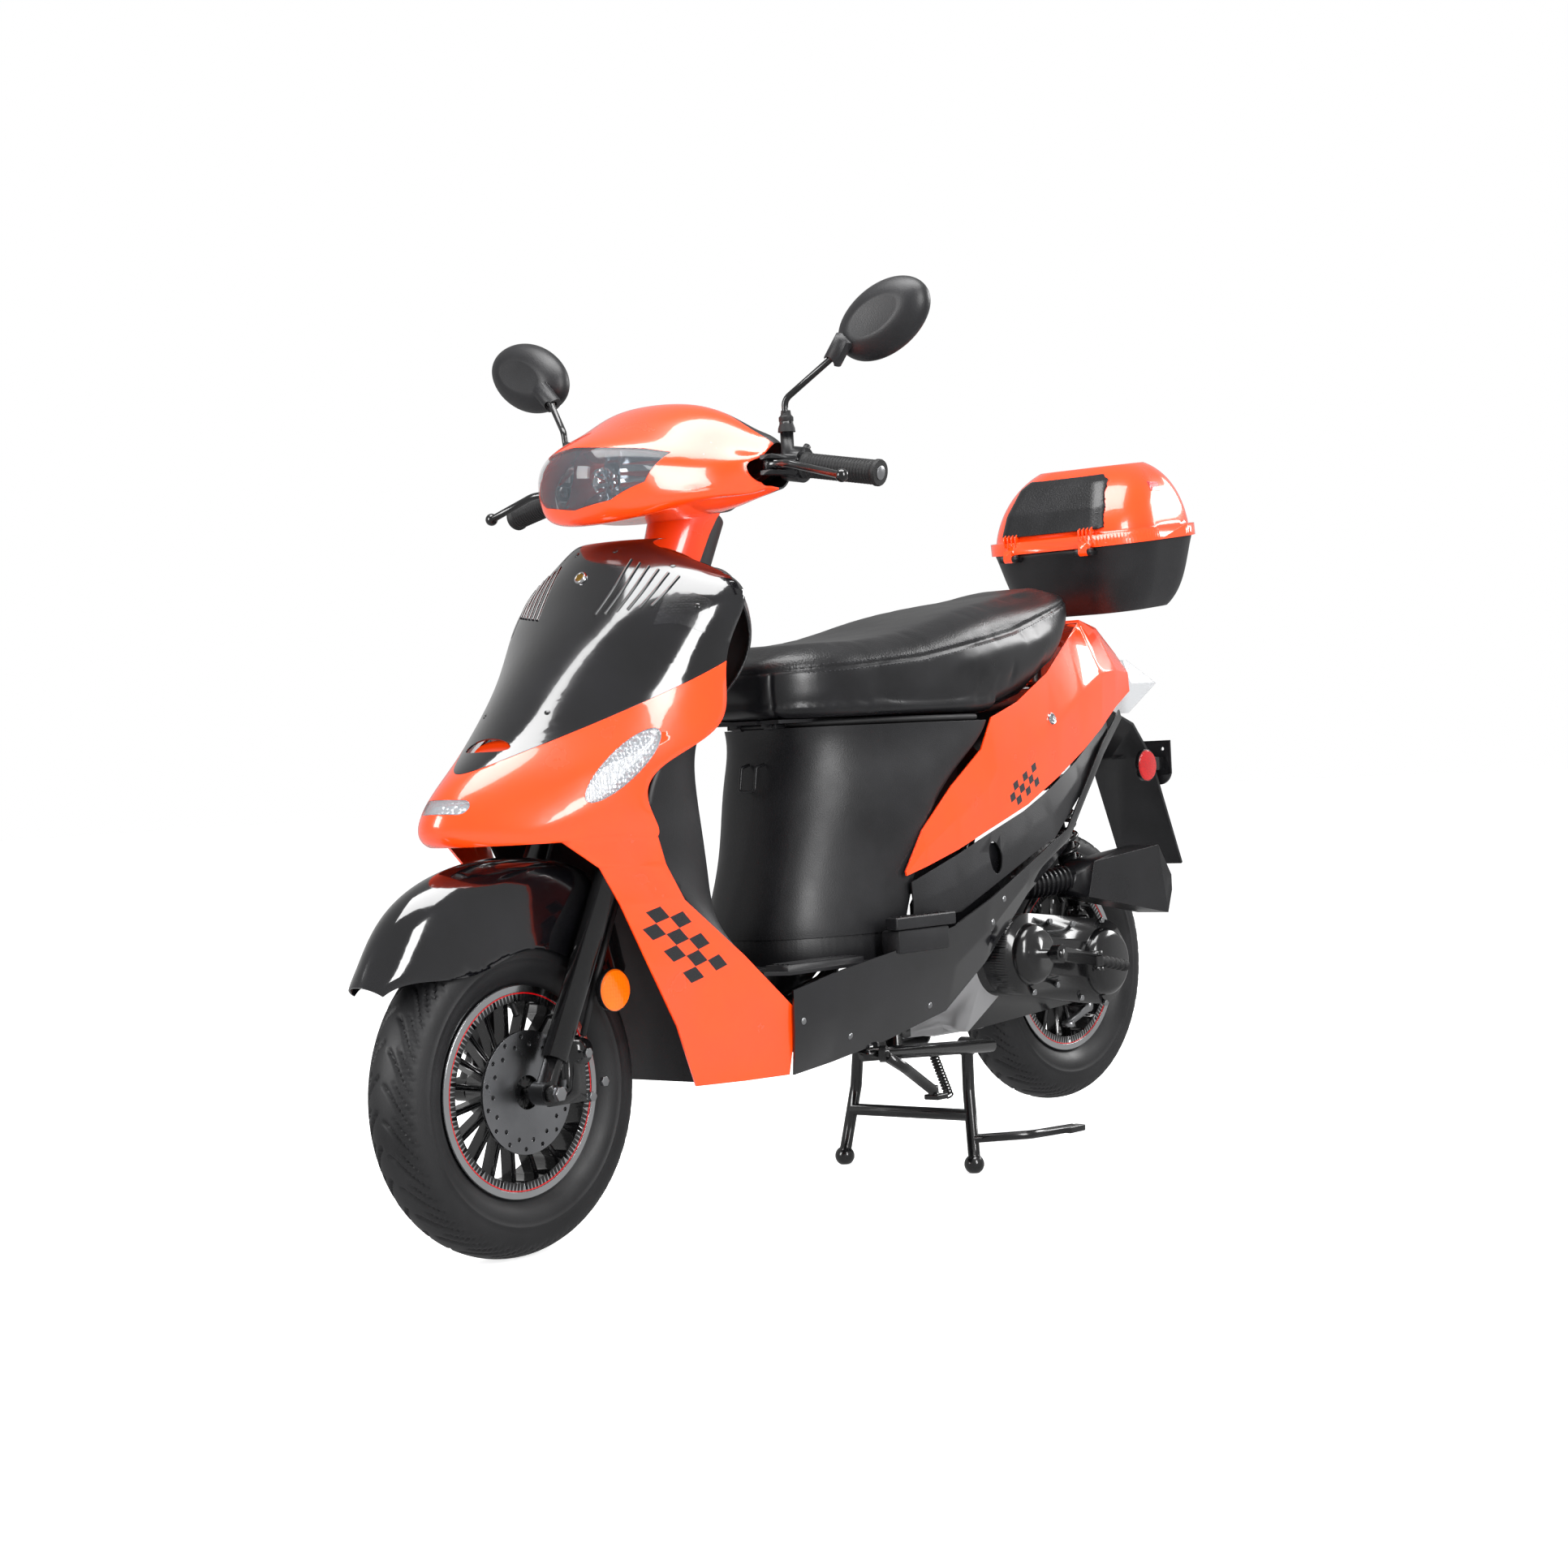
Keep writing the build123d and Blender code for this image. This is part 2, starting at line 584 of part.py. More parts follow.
# ---- cowl on the handlebar ---------------------------------------------------------------------
COWL = [
    (0, [(-468, 976), (-475, 1046), (-400, 1090), (-276, 1122), (-230, 1082), (-222, 1000), (-290, 965),
         (-400, 962)]),
    (60, [(-458, 980), (-462, 1040), (-392, 1082), (-276, 1119), (-230, 1081), (-222, 1000), (-290, 966),
          (-392, 965)]),
    (110, [(-412, 990), (-408, 1028), (-362, 1064), (-274, 1104), (-231, 1076), (-224, 1000), (-288, 972),
           (-368, 975)]),
    (150, [(-345, 996), (-342, 1030), (-312, 1056), (-266, 1080), (-236, 1066), (-232, 1003), (-268, 984),
           (-315, 986)]),
    (187, [(-298, 1004), (-297, 1030), (-282, 1048), (-258, 1058), (-240, 1046), (-238, 1008), (-256, 994),
           (-280, 996)]),
]


def closed_face(plane, points):
    """The face inside a smooth closed curve."""
    with BuildSketch(plane) as face:
        with BuildLine():
            Spline(*points, periodic=True)
        make_face()
    return face.sketch.faces()[0]


def around(middle_out):
    """Sections from one side to the other, given the ones from the middle out."""
    return [(-x, p) for x, p in reversed(middle_out[1:])] + list(middle_out)


def shrink(points, wall):
    """A closed outline moved inward by the wall."""
    loop = list(points)
    cy = sum(p[0] for p in loop) / len(loop)
    cz = sum(p[1] for p in loop) / len(loop)
    moved = []
    for i, (y, z) in enumerate(loop):
        before, after = loop[i - 1], loop[(i + 1) % len(loop)]
        dy, dz = after[0] - before[0], after[1] - before[1]
        length = hypot(dy, dz)
        ny, nz = -dz / length, dy / length
        if ny * (cy - y) + nz * (cz - z) < 0:
            ny, nz = -ny, -nz
        moved.append((y + ny * wall, z + nz * wall))
    return moved


with BuildPart() as cowl:
    loft([closed_face(beside(x), p) for x, p in around(COWL)])
with BuildPart() as cowl_core:
    loft([closed_face(beside(x * 1.012), shrink(p, 3.2)) for x, p in around(COWL)])
with BuildPart() as cowl_skin:
    add(cowl.part)
    add(cowl_core.part, mode=Mode.SUBTRACT)
    add(tube(BAR_PATH, BAR_R + 0.6, 28), mode=Mode.SUBTRACT)
    add(rod(steered(0, 0, 700), steered(0, 0, 900), 32), mode=Mode.SUBTRACT)
COWL_SPLIT = Plane(origin=(0, -262, 1000), x_dir=(1, 0, 0), z_dir=(0, 1, 0.12))
LENS = [(-96, 1008), (-100, 1030), (-88, 1052), (0, 1060), (88, 1052), (110, 1046), (98, 1006), (60, 984),
        (0, 975), (-60, 984)]
with BuildPart() as cowl_front:
    add(below(cowl_skin.part, COWL_SPLIT))
    add(prism(across(-340), LENS, 160), mode=Mode.SUBTRACT)
    add(rod(steered(0, 0, 780), steered(0, 0, 872), 44.3), mode=Mode.SUBTRACT)
save(cowl_front, "cowl_front")
with BuildPart() as headlight:
    add(cowl_skin.part & prism(across(-340), shrink(LENS, 0.3), 160))
    # the bowl behind the lens, with its bulb
    add(block((-78, -398, 988), (78, -346, 1042)))
    add(block((-74, -399, 991), (74, -352, 1039)), mode=Mode.SUBTRACT)
    add(rod((0, -353, 1014), (0, -390, 1014), 9))
save(headlight, "headlight")
with BuildPart() as cowl_rear:
    add(above(cowl_skin.part, COWL_SPLIT))
    add(rod(steered(0, 0, 788), steered(0, 0, 868), 44, 34))
    add(cowl_core.part & rod(steered(0, 0, 850), steered(0, 0, 1000), 60), mode=Mode.SUBTRACT)
    add(tube(BAR_PATH, BAR_R + 0.6, 28), mode=Mode.SUBTRACT)
save(cowl_rear, "cowl_rear")

# ---- floor and lower bodywork ------------------------------------------------------------------
with BuildPart() as floorboard:
    with BuildSketch(beside(-148)):
        Polygon((-296, 341), (-240, 337), (112, 337), (112, 332), (-242, 332), (-296, 336), align=None)
    extrude(amount=296)
    # the ribs of the mat on each side, and the passenger's steps behind them
    for side in (1, -1):
        low, high = (104, 144) if side > 0 else (-144, -104)
        add(block((low, -240, 336), (high, -74, 345)))
        low, high = (158, 180) if side > 0 else (-180, -158)
        add(block((low, -40, 378), (high, 100, 396), 3))
save(floorboard, "floorboard")

SKIRT = [
    (-246, (151, 196), (156, 255), (157, 312)),
    (-150, (140, 203), (162, 270), (167, 332)),
    (-29, (146, 222), (166, 290), (171, 350)),
    (103, (150, 250), (168, 315), (174, 374)),
    (199, (154, 312), (168, 362), (171, 407)),
    (318, (153, 408), (160, 432), (160, 453)),
    (446, (138, 470), (144, 484), (142, 499)),
    (600, (104, 600), (112, 612), (108, 626)),
    (712, (66, 655), (74, 668), (70, 682)),
]


def side_strip(stations, wall):
    """A thin moulding along the scooter's left, lofted through (y, bottom, middle, top) stations."""
    faces = []
    for y, *line in stations:
        with BuildSketch(Plane(origin=(0, y, 0), x_dir=(1, 0, 0), z_dir=(0, -1, 0))) as strip:
            with BuildLine():
                Polyline(*line, *reversed(inward(line, wall)), close=True)
            make_face()
        faces.append(strip.sketch.faces()[0])
    with BuildPart() as moulding:
        loft(faces, ruled=True)
    return moulding.part


with BuildPart() as side_skirts:
    skirt = side_strip(SKIRT, 3)
    add(skirt)
    add(mirrored(skirt))
save(side_skirts, "side_skirts")

POST = [
    (374, [(138, 30), (122, -70), (64, -166), (0, -178)]),
    (430, [(146, 40), (118, -62), (62, -154), (0, -164)]),
    (474, [(146, 58), (112, -66), (60, -140), (0, -150)]),
    (542, [(140, 104), (110, -66), (58, -126), (0, -136)]),
    (600, [(136, 170), (112, -52), (58, -114), (0, -123)]),
    (672, [(134, 258), (118, -30), (60, -106), (0, -114)]),
]
TRIM = [
    (32, (154, 384), (156, 412), (154, 442)),
    (142, (158, 392), (159, 432), (152, 474)),
    (240, (157, 430), (155, 466), (147, 504)),
    (338, (152, 466), (148, 500), (140, 532)),
    (409, (143, 486), (139, 520), (130, 556)),
    (523, (118, 552), (117, 578), (109, 601)),
    (654, (84, 644), (84, 655), (82, 664)),
]
with BuildPart() as seat_post_cover:
    add(shell([(level(z), half) for z, half in POST], -3.2))
    trim = side_strip(TRIM, 2.6)
    add(trim)
    add(mirrored(trim))
    hole = oval_prism(Plane(origin=(150, 239, 466), x_dir=(0, 1, 0), z_dir=(1, 0, 0)), 16, 24, 30)
    add(hole, mode=Mode.SUBTRACT)
    add(mirrored(hole), mode=Mode.SUBTRACT)
    # the bag hook, a bent wire in front of the post
    add(tube([(-14, -119, 622), (-14, -136, 618), (-14, -142, 584), (14, -142, 584), (14, -136, 618),
              (14, -119, 622)], 2.2, 5))
save(seat_post_cover, "seat_post_cover")

PANEL = [
    (24, (152, 452), (152, 455), (151, 459)),
    (72, (153, 463), (153, 490), (147, 516)),
    (152, (151, 483), (152, 530), (143, 577)),
    (235, (147, 508), (148, 570), (140, 629)),
    (268, (146, 518), (146, 600), (137, 676)),
    (349, (139, 541), (139, 622), (127, 698)),
    (454, (124, 580), (126, 664), (111, 742)),
    (551, (107, 619), (110, 710), (86, 796)),
    (622, (94, 652), (98, 740), (58, 824)),
    (690, (78, 686), (82, 745), (46, 812)),
    (757, (62, 712), (60, 742), (42, 768)),
]
with BuildPart() as side_panels:
    panel = side_strip(PANEL, 3)
    add(panel)
    add(mirrored(panel))
    # the tail bridge across the top, behind the seat
    faces = []
    for y, half, z in ((622, 60, 826), (690, 46, 814), (752, 42, 770)):
        with BuildSketch(across(y)) as strip:
            with Locations((0, z)):
                Rectangle(2 * half, 5)
        faces.append(strip.sketch.faces()[0])
    loft(faces, ruled=True)
    for side in (1, -1):
        add(rod((side * 40, 640, 700), (side * 40, 640, 860), 13), mode=Mode.SUBTRACT)
save(side_panels, "side_panels")

with BuildPart() as tail_light:
    faces = []
    for z, half, front, back in ((676, 40, 768, 790), (724, 56, 764, 852), (764, 40, 766, 790)):
        faces.append(rounded(level(z), 2 * half, back - front, 8, 0, (front + back) / 2).faces()[0])
    loft(faces, ruled=True)
    add(block((-14, 752, 708), (14, 764.2, 736)))
save(tail_light, "tail_light")

with BuildPart() as rear_mudguard:
    sheet = [(668, 690), (764, 655), (812, 600), (892, 420), (896, 422), (817, 603), (767, 659), (670, 694)]
    add(prism(beside(-60), sheet, 120))
    # stay from the frame's bridge, and the licence-plate bracket with its two holes
    add(block((-30, 650.3, 692), (30, 672, 697)))
    add(block((-75, 850, 572), (75, 853, 628)))
    for x in (-60, 60):
        add(rod((x, 845, 614), (x, 860, 614), 3), mode=Mode.SUBTRACT)
    add(block((-12, 806, 600), (12, 852, 606)))
    add(rod((48, 852, 578), (48, 858, 578), 24))
save(rear_mudguard, "rear_mudguard")

# ---- rack and case -----------------------------------------------------------------------------
RACK_R = 7.0
with BuildPart() as rear_rack:
    rail = tube([(84, 640, 825.6), (108, 640, 825.6), (108, 600, 828), (108, 590, 889), (108, 470, 889)],
                RACK_R, 12)
    add(rail)
    add(mirrored(rail))
    add(tube([(-90, 640, 825.6), (90, 640, 825.6)], RACK_R))
    add(tube([(-108, 471, 889), (108, 471, 889)], RACK_R))
    add(tube([(-40, 640, 825.6), (-40, 850, 846.8), (40, 850, 846.8), (40, 640, 825.6)], RACK_R, 20))
    for side in (1, -1):
        add(rod((side * 40, 640, 812.2), (side * 40, 640, 824), 11))
save(rear_rack, "rear_rack")

CASE = Plane(origin=(0, 762, 960), x_dir=(1, 0, 0), z_dir=(0, -0.101, 0.995))
with BuildPart() as case_base:
    loft([rounded(CASE.offset(h), w, d, r, 0, dy).faces()[0]
          for h, w, d, r, dy in ((-114, 210, 170, 60, 0), (-100, 236, 192, 68, 0), (-50, 282, 228, 82, 0),
                                 (-4, 306, 252, 90, 0))])
    loft([rounded(CASE.offset(h), w - 7, d - 7, r - 3, 0, dy).faces()[0]
          for h, w, d, r, dy in ((-109, 208, 168, 60, 0), (-96, 236, 192, 68, 0), (-50, 282, 228, 82, 0),
                                 (-3, 306, 252, 90, 0))], mode=Mode.SUBTRACT)
    # hinge knuckles on the front
    for x in (-74, 74):
        add(rod((x - 16, 627, 936), (x + 16, 627, 936), 6))
        add(block((x - 14, 628, 931), (x + 14, 642, 938)))
        add(block((x - 8.3, 615, 925), (x + 8.3, 640, 946)), mode=Mode.SUBTRACT)
    for x in (-74, 74):
        add(rod((x - 16, 627, 936), (x + 16, 627, 936), 3))
    # lugs that hold the latch's pin at the back
    for x in (21.3, -25):
        add(block((x, 880, 950), (x + 3.7, 896, 961)))
save(case_base, "case_base")
CASE_PIVOT = Vector(0, 627, 936)

LID = ((16, 300, 246, 88, 0), (60, 282, 222, 84, 6), (100, 240, 176, 76, 14), (124, 176, 120, 56, 20))


def lid_body(grow):
    """The lid's dome, larger all round by grow."""
    faces = [rounded(CASE.offset(h + (grow if h > 16 else 0)), w + 2 * grow, d + 2 * grow, r + grow, 0, dy)
             for h, w, d, r, dy in LID]
    with BuildPart() as dome:
        loft([f.faces()[0] for f in faces])
    return dome.part


HOLLOW = ((12, 293, 239, 84.5, 0), (57, 275, 215, 80.5, 6), (97, 233, 169, 72.5, 14), (120.5, 169, 113, 52.5, 20))
PAD = ((24, 208, -97), (60, 200, -81), (100, 176, -51), (112, 150, -38))


def pad_body():
    """The backrest pad's block, before the dome is taken out of it."""
    faces = [rounded(CASE.offset(h), w, 60, 24, 0, middle).faces()[0] for h, w, middle in PAD]
    with BuildPart() as block_of_pad:
        loft(faces, ruled=True)
    return block_of_pad.part


with BuildPart() as case_lid:
    loft([rounded(CASE.offset(h), 316, 262, 92).faces()[0] for h in (-3.6, 16)])
    add(lid_body(0))
    loft([rounded(CASE.offset(h), 309, 255, 89).faces()[0] for h in (-5, 12.6)], mode=Mode.SUBTRACT)
    loft([rounded(CASE.offset(h), w, d, r, 0, dy).faces()[0] for h, w, d, r, dy in HOLLOW], mode=Mode.SUBTRACT)
    for x in (-74, 74):
        add(rod((x - 8, 627, 936), (x + 8, 627, 936), 6))
        add(block((x - 8, 621, 936), (x + 8, 633, 950)))
        add(rod((x - 9, 627, 936), (x + 9, 627, 936), 3 + RUN), mode=Mode.SUBTRACT)
    # the latch's recess at the back
    add(block((-22.3, 880, 958), (22.3, 900, 994)), mode=Mode.SUBTRACT)
    # the backrest pad is a moulding of its own, glued to the front of the dome
    add(pad_body() - lid_body(0.1))
save(case_lid, "case_lid")

# The latch turns on a pin in the base and hooks over the lid's rim; its face is a red lens.
LATCH_PIVOT = Vector(0, 892.8, 956)
with BuildPart() as case_latch:
    add(block((-21, 889.6, 957), (21, 895, 991)))
    add(rod((-21, 892.8, 956), (21, 892.8, 956), 3))
save(case_latch, "case_latch")

# ---- under the seat ----------------------------------------------------------------------------
with BuildPart() as helmet_box:
    add(block((-88, -58, 420), (88, 240, 669)))
    add(block((-85, -55, 423), (85, 237, 680)), mode=Mode.SUBTRACT)
    # the seat's hinge pin, held by two arms on the box's front wall
    for x in (39, -46):
        add(block((x, -126, 672.4), (x + 7, -55, 678.2)))
        add(block((x, -58, 655), (x + 7, -55, 678.2)))
    add(rod((-46, -120, 676), (46, -120, 676), 3))
save(helmet_box, "helmet_box")

TANK = [(262, 530), (262, 668), (400, 690), (556, 722), (556, 625), (430, 572)]
with BuildPart() as fuel_tank:
    add(prism(beside(-58), TANK, 116))
    add(prism(beside(-55), [(266, 536), (266, 664), (400, 686), (552, 717), (552, 628), (429, 577)], 110),
        mode=Mode.SUBTRACT)
    add(rod((0, 330, 670), (0, 330, 681.5), 18))
save(fuel_tank, "fuel_tank")

# The underside of the seat, which the pan follows.
UNDER = [(-178, 684), (290, 684), (415, 716), (500, 765), (556, 826)]
SEAT = [
    (-182, 62, 699, 762, 26), (-160, 92, 684, 778, 34), (-120, 120, 680, 786, 38), (-20, 142, 676, 791, 40),
    (120, 150, 676, 808, 44), (260, 142, 678, 838, 44), (340, 132, 690, 851, 42), (450, 116, 728, 866, 40),
    (530, 100, 780, 878, 34), (568, 82, 826, 872, 18),
]
with BuildPart() as seat_cushion:
    loft([rounded(across(y), 2 * w, high - low, r, 0, (high + low) / 2).faces()[0] for y, w, low, high, r in SEAT])
    add(prism(beside(-200), [*UNDER, (640, 900), (640, 600), (-260, 600), (-260, 684)], 400), mode=Mode.SUBTRACT)
save(seat_cushion, "seat_cushion")

with BuildPart() as seat_pan:
    line = [(y, z - 0.2) for y, z in UNDER]
    add(prism(beside(-80), [*inward(line, -5)[::-1], *line], 160) & block((-80, -160, 600), (80, 520, 900)))
    for x in (-30, 30):
        add(block((x - 8, -130, 674), (x + 8, -110, 684)))
        add(rod((x - 8, -120, 676), (x + 8, -120, 676), 6))
    # slots in the front edge, which clear the box's two arms as the seat tips
    for x in (38.3, -46.7):
        add(block((x, -161, 670), (x + 8.4, -106, 690)), mode=Mode.SUBTRACT)
    add(rod((-50, -120, 676), (50, -120, 676), 3 + RUN), mode=Mode.SUBTRACT)
save(seat_pan, "seat_pan")

# ---- engine and drive --------------------------------------------------------------------------
with BuildPart() as engine_case:
    add(block((-75, 190, 200), (62, 330, 330), 12))
    add(block((-45, 128, 238), (45, 196, 325), 3))
    for i in range(6):
        add(block((-52, 132 + 9 * i, 232), (52, 136 + 9 * i, 331)))
    add(block((-40, 114, 246), (40, 129, 318), 4))
    for side in (1, -1):
        low, high = (50, 66) if side > 0 else (-66, -50)
        add(prism(beside(low), [(92, 208), (92, 236), (205, 250), (205, 204)], 16))
        add(rod((low, PIVOT.Y, PIVOT.Z), (high, PIVOT.Y, PIVOT.Z), 14))
    # the belt-drive case along the left, and the hub's brake plate and axle shaft at its end
    with BuildSketch(beside(62)) as arm_outline:
        with Locations((328, 310)):
            Circle(60)
        with Locations((REAR_Y - 42, 287)):
            Circle(50)
        make_hull()
    extrude(amount=38)
    with BuildSketch(beside(62)):
        with Locations((240, 262)):
            Circle(58)
        with Locations((REAR_Y, REAR_AXLE.Z)):
            Circle(52)
        make_hull()
    extrude(amount=22)
    add(rod((40.5, REAR_Y, REAR_AXLE.Z), (64, REAR_Y, REAR_AXLE.Z), 56))
    add(block((62, 548, 330), (68, 572, 366), 1))
    add(rod((64, 560, 352), (92, 560, 352), 6))
    add(rod((-76, PIVOT.Y, PIVOT.Z), (76, PIVOT.Y, PIVOT.Z), 6 + RUN), mode=Mode.SUBTRACT)
    add(rod((66, 545, 214), (92, 545, 214), 9))
    add(rod((-58, REAR_Y, REAR_AXLE.Z), (64, REAR_Y, REAR_AXLE.Z), REAR_SHAFT_R))
    add(rod((-54, REAR_Y, REAR_AXLE.Z), (-42, REAR_Y, REAR_AXLE.Z), 14))
save(engine_case, "engine_case")

KICK_PIVOT = Vector(0, 328, 315)
with BuildPart() as cvt_cover:
    with BuildSketch(beside(100.3)):
        with Locations((328, 314)):
            Circle(62)
        with Locations((522, 287)):
            Circle(66)
        make_hull()
    extrude(amount=44)
    for y, z, r in ((328, 314, 48), (522, 287, 54)):
        add(slab([oval(Plane(origin=(x, y, z), x_dir=(0, 1, 0), z_dir=(1, 0, 0)), k, k)
                  for x, k in ((143, r), (156, r - 3), (165, r - 14))]))
    with BuildSketch(beside(100.3)):
        with Locations((328, 314)):
            Circle(58)
        with Locations((522, 287)):
            Circle(62)
        make_hull()
    extrude(amount=40, mode=Mode.SUBTRACT)
    add(rod((150, KICK_PIVOT.Y, KICK_PIVOT.Z), (206, KICK_PIVOT.Y, KICK_PIVOT.Z), 7))
save(cvt_cover, "cvt_cover")

with BuildPart() as air_box:
    add(prism(beside(104), [(466, 392), (486, 446), (668, 462), (702, 412), (702, 388), (688, 352)], 58))
    add(prism(beside(107), [(471, 396), (489, 442), (665, 458), (698, 411), (698, 390), (685, 357)], 52),
        mode=Mode.SUBTRACT)
    # a corrugated hose forward to the carburettor, on the engine's inlet
    add(rod((118, 485, 420), (84, 400, 412), 17))
    for i in range(9):
        at = Vector(118, 485, 420) + (Vector(84, 400, 412) - Vector(118, 485, 420)) * (0.12 + 0.095 * i)
        add(rod(at, at + Vector(-1.4, -3.5, -0.3), 21))
    add(rod((84, 400, 412), (66, 355, 408), 20))
    add(rod((40, 352, 400), (96, 352, 400), 18))
    add(block((46, 334, 372), (90, 368, 396), 4))
    add(rod((66, 350, 404), (26, 272, 350), 14))
save(air_box, "air_box")

with BuildPart() as exhaust:
    add(tube([(-20, 160, 228), (-20, 175, 183), (-66, 215, 180), (-70, 330, 180), (-118, 400, 232),
              (-126, 440, 250)], 12, 24))
    muffler_front, muffler_back = Vector(-128, 424, 250), Vector(-134, 760, 300)
    add(rod(muffler_front, muffler_back, 50))
    add(rod(muffler_front + Vector(0, 4, 0.6), muffler_back - Vector(0, 4, 0.6), 47), mode=Mode.SUBTRACT)
    add(rod(muffler_back - Vector(0, 4, 0), muffler_back + Vector(-0.5, 26, 4), 12, 9))
    add(block((-84, 290, 235), (-75.2, 448, 262)))
save(exhaust, "exhaust")

with BuildPart() as kick_lever:
    add(rod((189, KICK_PIVOT.Y, KICK_PIVOT.Z), (204, KICK_PIVOT.Y, KICK_PIVOT.Z), 14))
    add(prism(beside(192), [(330, 304), (430, 288), (432, 306), (334, 326)], 9))
    add(rod((196, 432.22, 281), (196, 430, 311), 9))
    add(rod((186, KICK_PIVOT.Y, KICK_PIVOT.Z), (208, KICK_PIVOT.Y, KICK_PIVOT.Z), 7 + RUN), mode=Mode.SUBTRACT)
    add(block((180, 420, 286.5), (212, 450, 304.6)), mode=Mode.SUBTRACT)
    add(rod((196, 432.22, 281), (196, 430, 311), 3.5))
save(kick_lever, "kick_lever")

with BuildPart() as kick_pedal:
    add(rod((196, 431.7, 288), (196, 430.55, 303.6), 9))
    add(rod((196, 432, 297), (196, 508, 282), 7))
    for i in range(5):
        at = Vector(196, 448, 294) + Vector(0, 13, -2.6) * i
        add(rod(at, at + Vector(0, 6, -1.2), 9))
    add(rod((196, 432.444, 278), (196, 429.63, 316), 3.5 + RUN), mode=Mode.SUBTRACT)
save(kick_pedal, "kick_pedal")

BRAKE_ARM_PIVOT = Vector(0, 545, 214)
with BuildPart() as rear_brake_arm:
    add(rod((92.4, 545, 214), (100, 545, 214), 9))
    add(prism(beside(92.4), [(548, 206), (548, 220), (486, 196), (486, 186)], 6))
    add(rod((86, 490, 191), (104, 490, 191), 5))
save(rear_brake_arm, "rear_brake_arm")

# ---- shock absorber ----------------------------------------------------------------------------
SHOCK_TOP, SHOCK_LOW = Vector(76, 500, 600), Vector(76, 560, 352)
SHOCK_DIR = (SHOCK_LOW - SHOCK_TOP).normalized()


def on_shock(distance):
    """A point this far down the shock from its upper eye."""
    return SHOCK_TOP + SHOCK_DIR * distance


with BuildPart() as shock_upper:
    add(rod((66, 500, 600), (86, 500, 600), 13))
    add(rod(on_shock(6), on_shock(30), 12))
    add(rod(on_shock(24), on_shock(30), 25))
    add(rod(on_shock(28), on_shock(160), 6))
    add(rod((60, 500, 600), (90, 500, 600), 6 + RUN), mode=Mode.SUBTRACT)
save(shock_upper, "shock_upper")
with BuildPart() as shock_lower:
    add(rod((69, 560, 352), (84, 560, 352), 14))
    add(rod(on_shock(115), on_shock(231), 15))
    add(rod(on_shock(230), on_shock(246), 6.5))
    add(rod(on_shock(208), on_shock(214), 25))
    add(rod(on_shock(100), on_shock(232), 6 + RUN), mode=Mode.SUBTRACT)
    add(rod((60, 560, 352), (90, 560, 352), 7.3), mode=Mode.SUBTRACT)
save(shock_lower, "shock_lower")
with BuildPart() as shock_spring:
    turns = 9
    coil = Helix(pitch=(174 - 7.6) / turns, height=174 - 7.6, radius=20.5, center=on_shock(33.8),
                 direction=SHOCK_DIR, mode=Mode.PRIVATE)
    with BuildSketch(Plane(origin=coil @ 0, z_dir=coil % 0)):
        Circle(3.5)
    sweep(path=coil, is_frenet=True)
save(shock_spring, "shock_spring")

# ---- stands ------------------------------------------------------------------------------------
with BuildPart() as centre_stand:
    for side in (1, -1):
        leg = tube([(104, STAND_PIVOT.Y, STAND_PIVOT.Z), (108, 205, 120), (124, 190, 18)], 9, 30)
        add(leg if side > 0 else mirrored(leg))
        low, high = (95, 112) if side > 0 else (-112, -95)
        add(rod((low, STAND_PIVOT.Y, STAND_PIVOT.Z), (high, STAND_PIVOT.Y, STAND_PIVOT.Z), 14))
        with Locations((side * 124, 189, 13)):
            Sphere(15)
    add(rod((-112, 199, 84), (112, 199, 84), 9))
    # the long tongue the rider treads on, and its plate
    add(tube([(122, 193, 50), (178, 262, 50), (180, 366, 47)], 6.5, 30))
    add(block((168, 352, 40), (187, 392, 50), 2))
    add(block((-160, 150, -10), (160, 230, 0)), mode=Mode.SUBTRACT)
    for side in (1, -1):
        add(rod((side * 90, STAND_PIVOT.Y, STAND_PIVOT.Z), (side * 114, STAND_PIVOT.Y, STAND_PIVOT.Z), 6 + RUN),
            mode=Mode.SUBTRACT)
save(centre_stand, "centre_stand")

BOLT_DIR = Vector(27, 13.7, 0).normalized()
SIDE_PIVOT = Vector(128, -54, 203) + BOLT_DIR * 22
with BuildPart() as side_stand:
    add(rod(SIDE_PIVOT - BOLT_DIR * 5, SIDE_PIVOT + BOLT_DIR * 5, 12))
    add(tube([SIDE_PIVOT + Vector(0, 6, -4), SIDE_PIVOT + Vector(2, 45, -25), Vector(124, 97, 134)], 8, 30))
    add(block((112, 90, 120), (138, 116, 128), 2))
    add(rod((124, 97, 140), (124, 99, 124), 8))
    add(rod(SIDE_PIVOT - BOLT_DIR * 9, SIDE_PIVOT + BOLT_DIR * 9, 5 + RUN), mode=Mode.SUBTRACT)
save(side_stand, "side_stand")

with BuildPart() as stand_spring:
    top, low = Vector(80, 150, 196), Vector(84, 196, 98)
    way = (low - top).normalized()
    coil = Helix(pitch=5.2, height=78, radius=6, center=top + way * 14, direction=way, mode=Mode.PRIVATE)
    with BuildSketch(Plane(origin=coil @ 0, z_dir=coil % 0)):
        Circle(1.4)
    sweep(path=coil, is_frenet=True)
save(stand_spring, "stand_spring")
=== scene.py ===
"""The moped scooter's visible surfaces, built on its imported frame, in metres."""

from __future__ import annotations

import json
import logging
import math
from dataclasses import dataclass
from enum import Enum
from typing import Any, Callable, Iterable, Mapping, Optional, Sequence

import bmesh
import bpy
from mathutils import Matrix, Vector
from mathutils.bvhtree import BVHTree

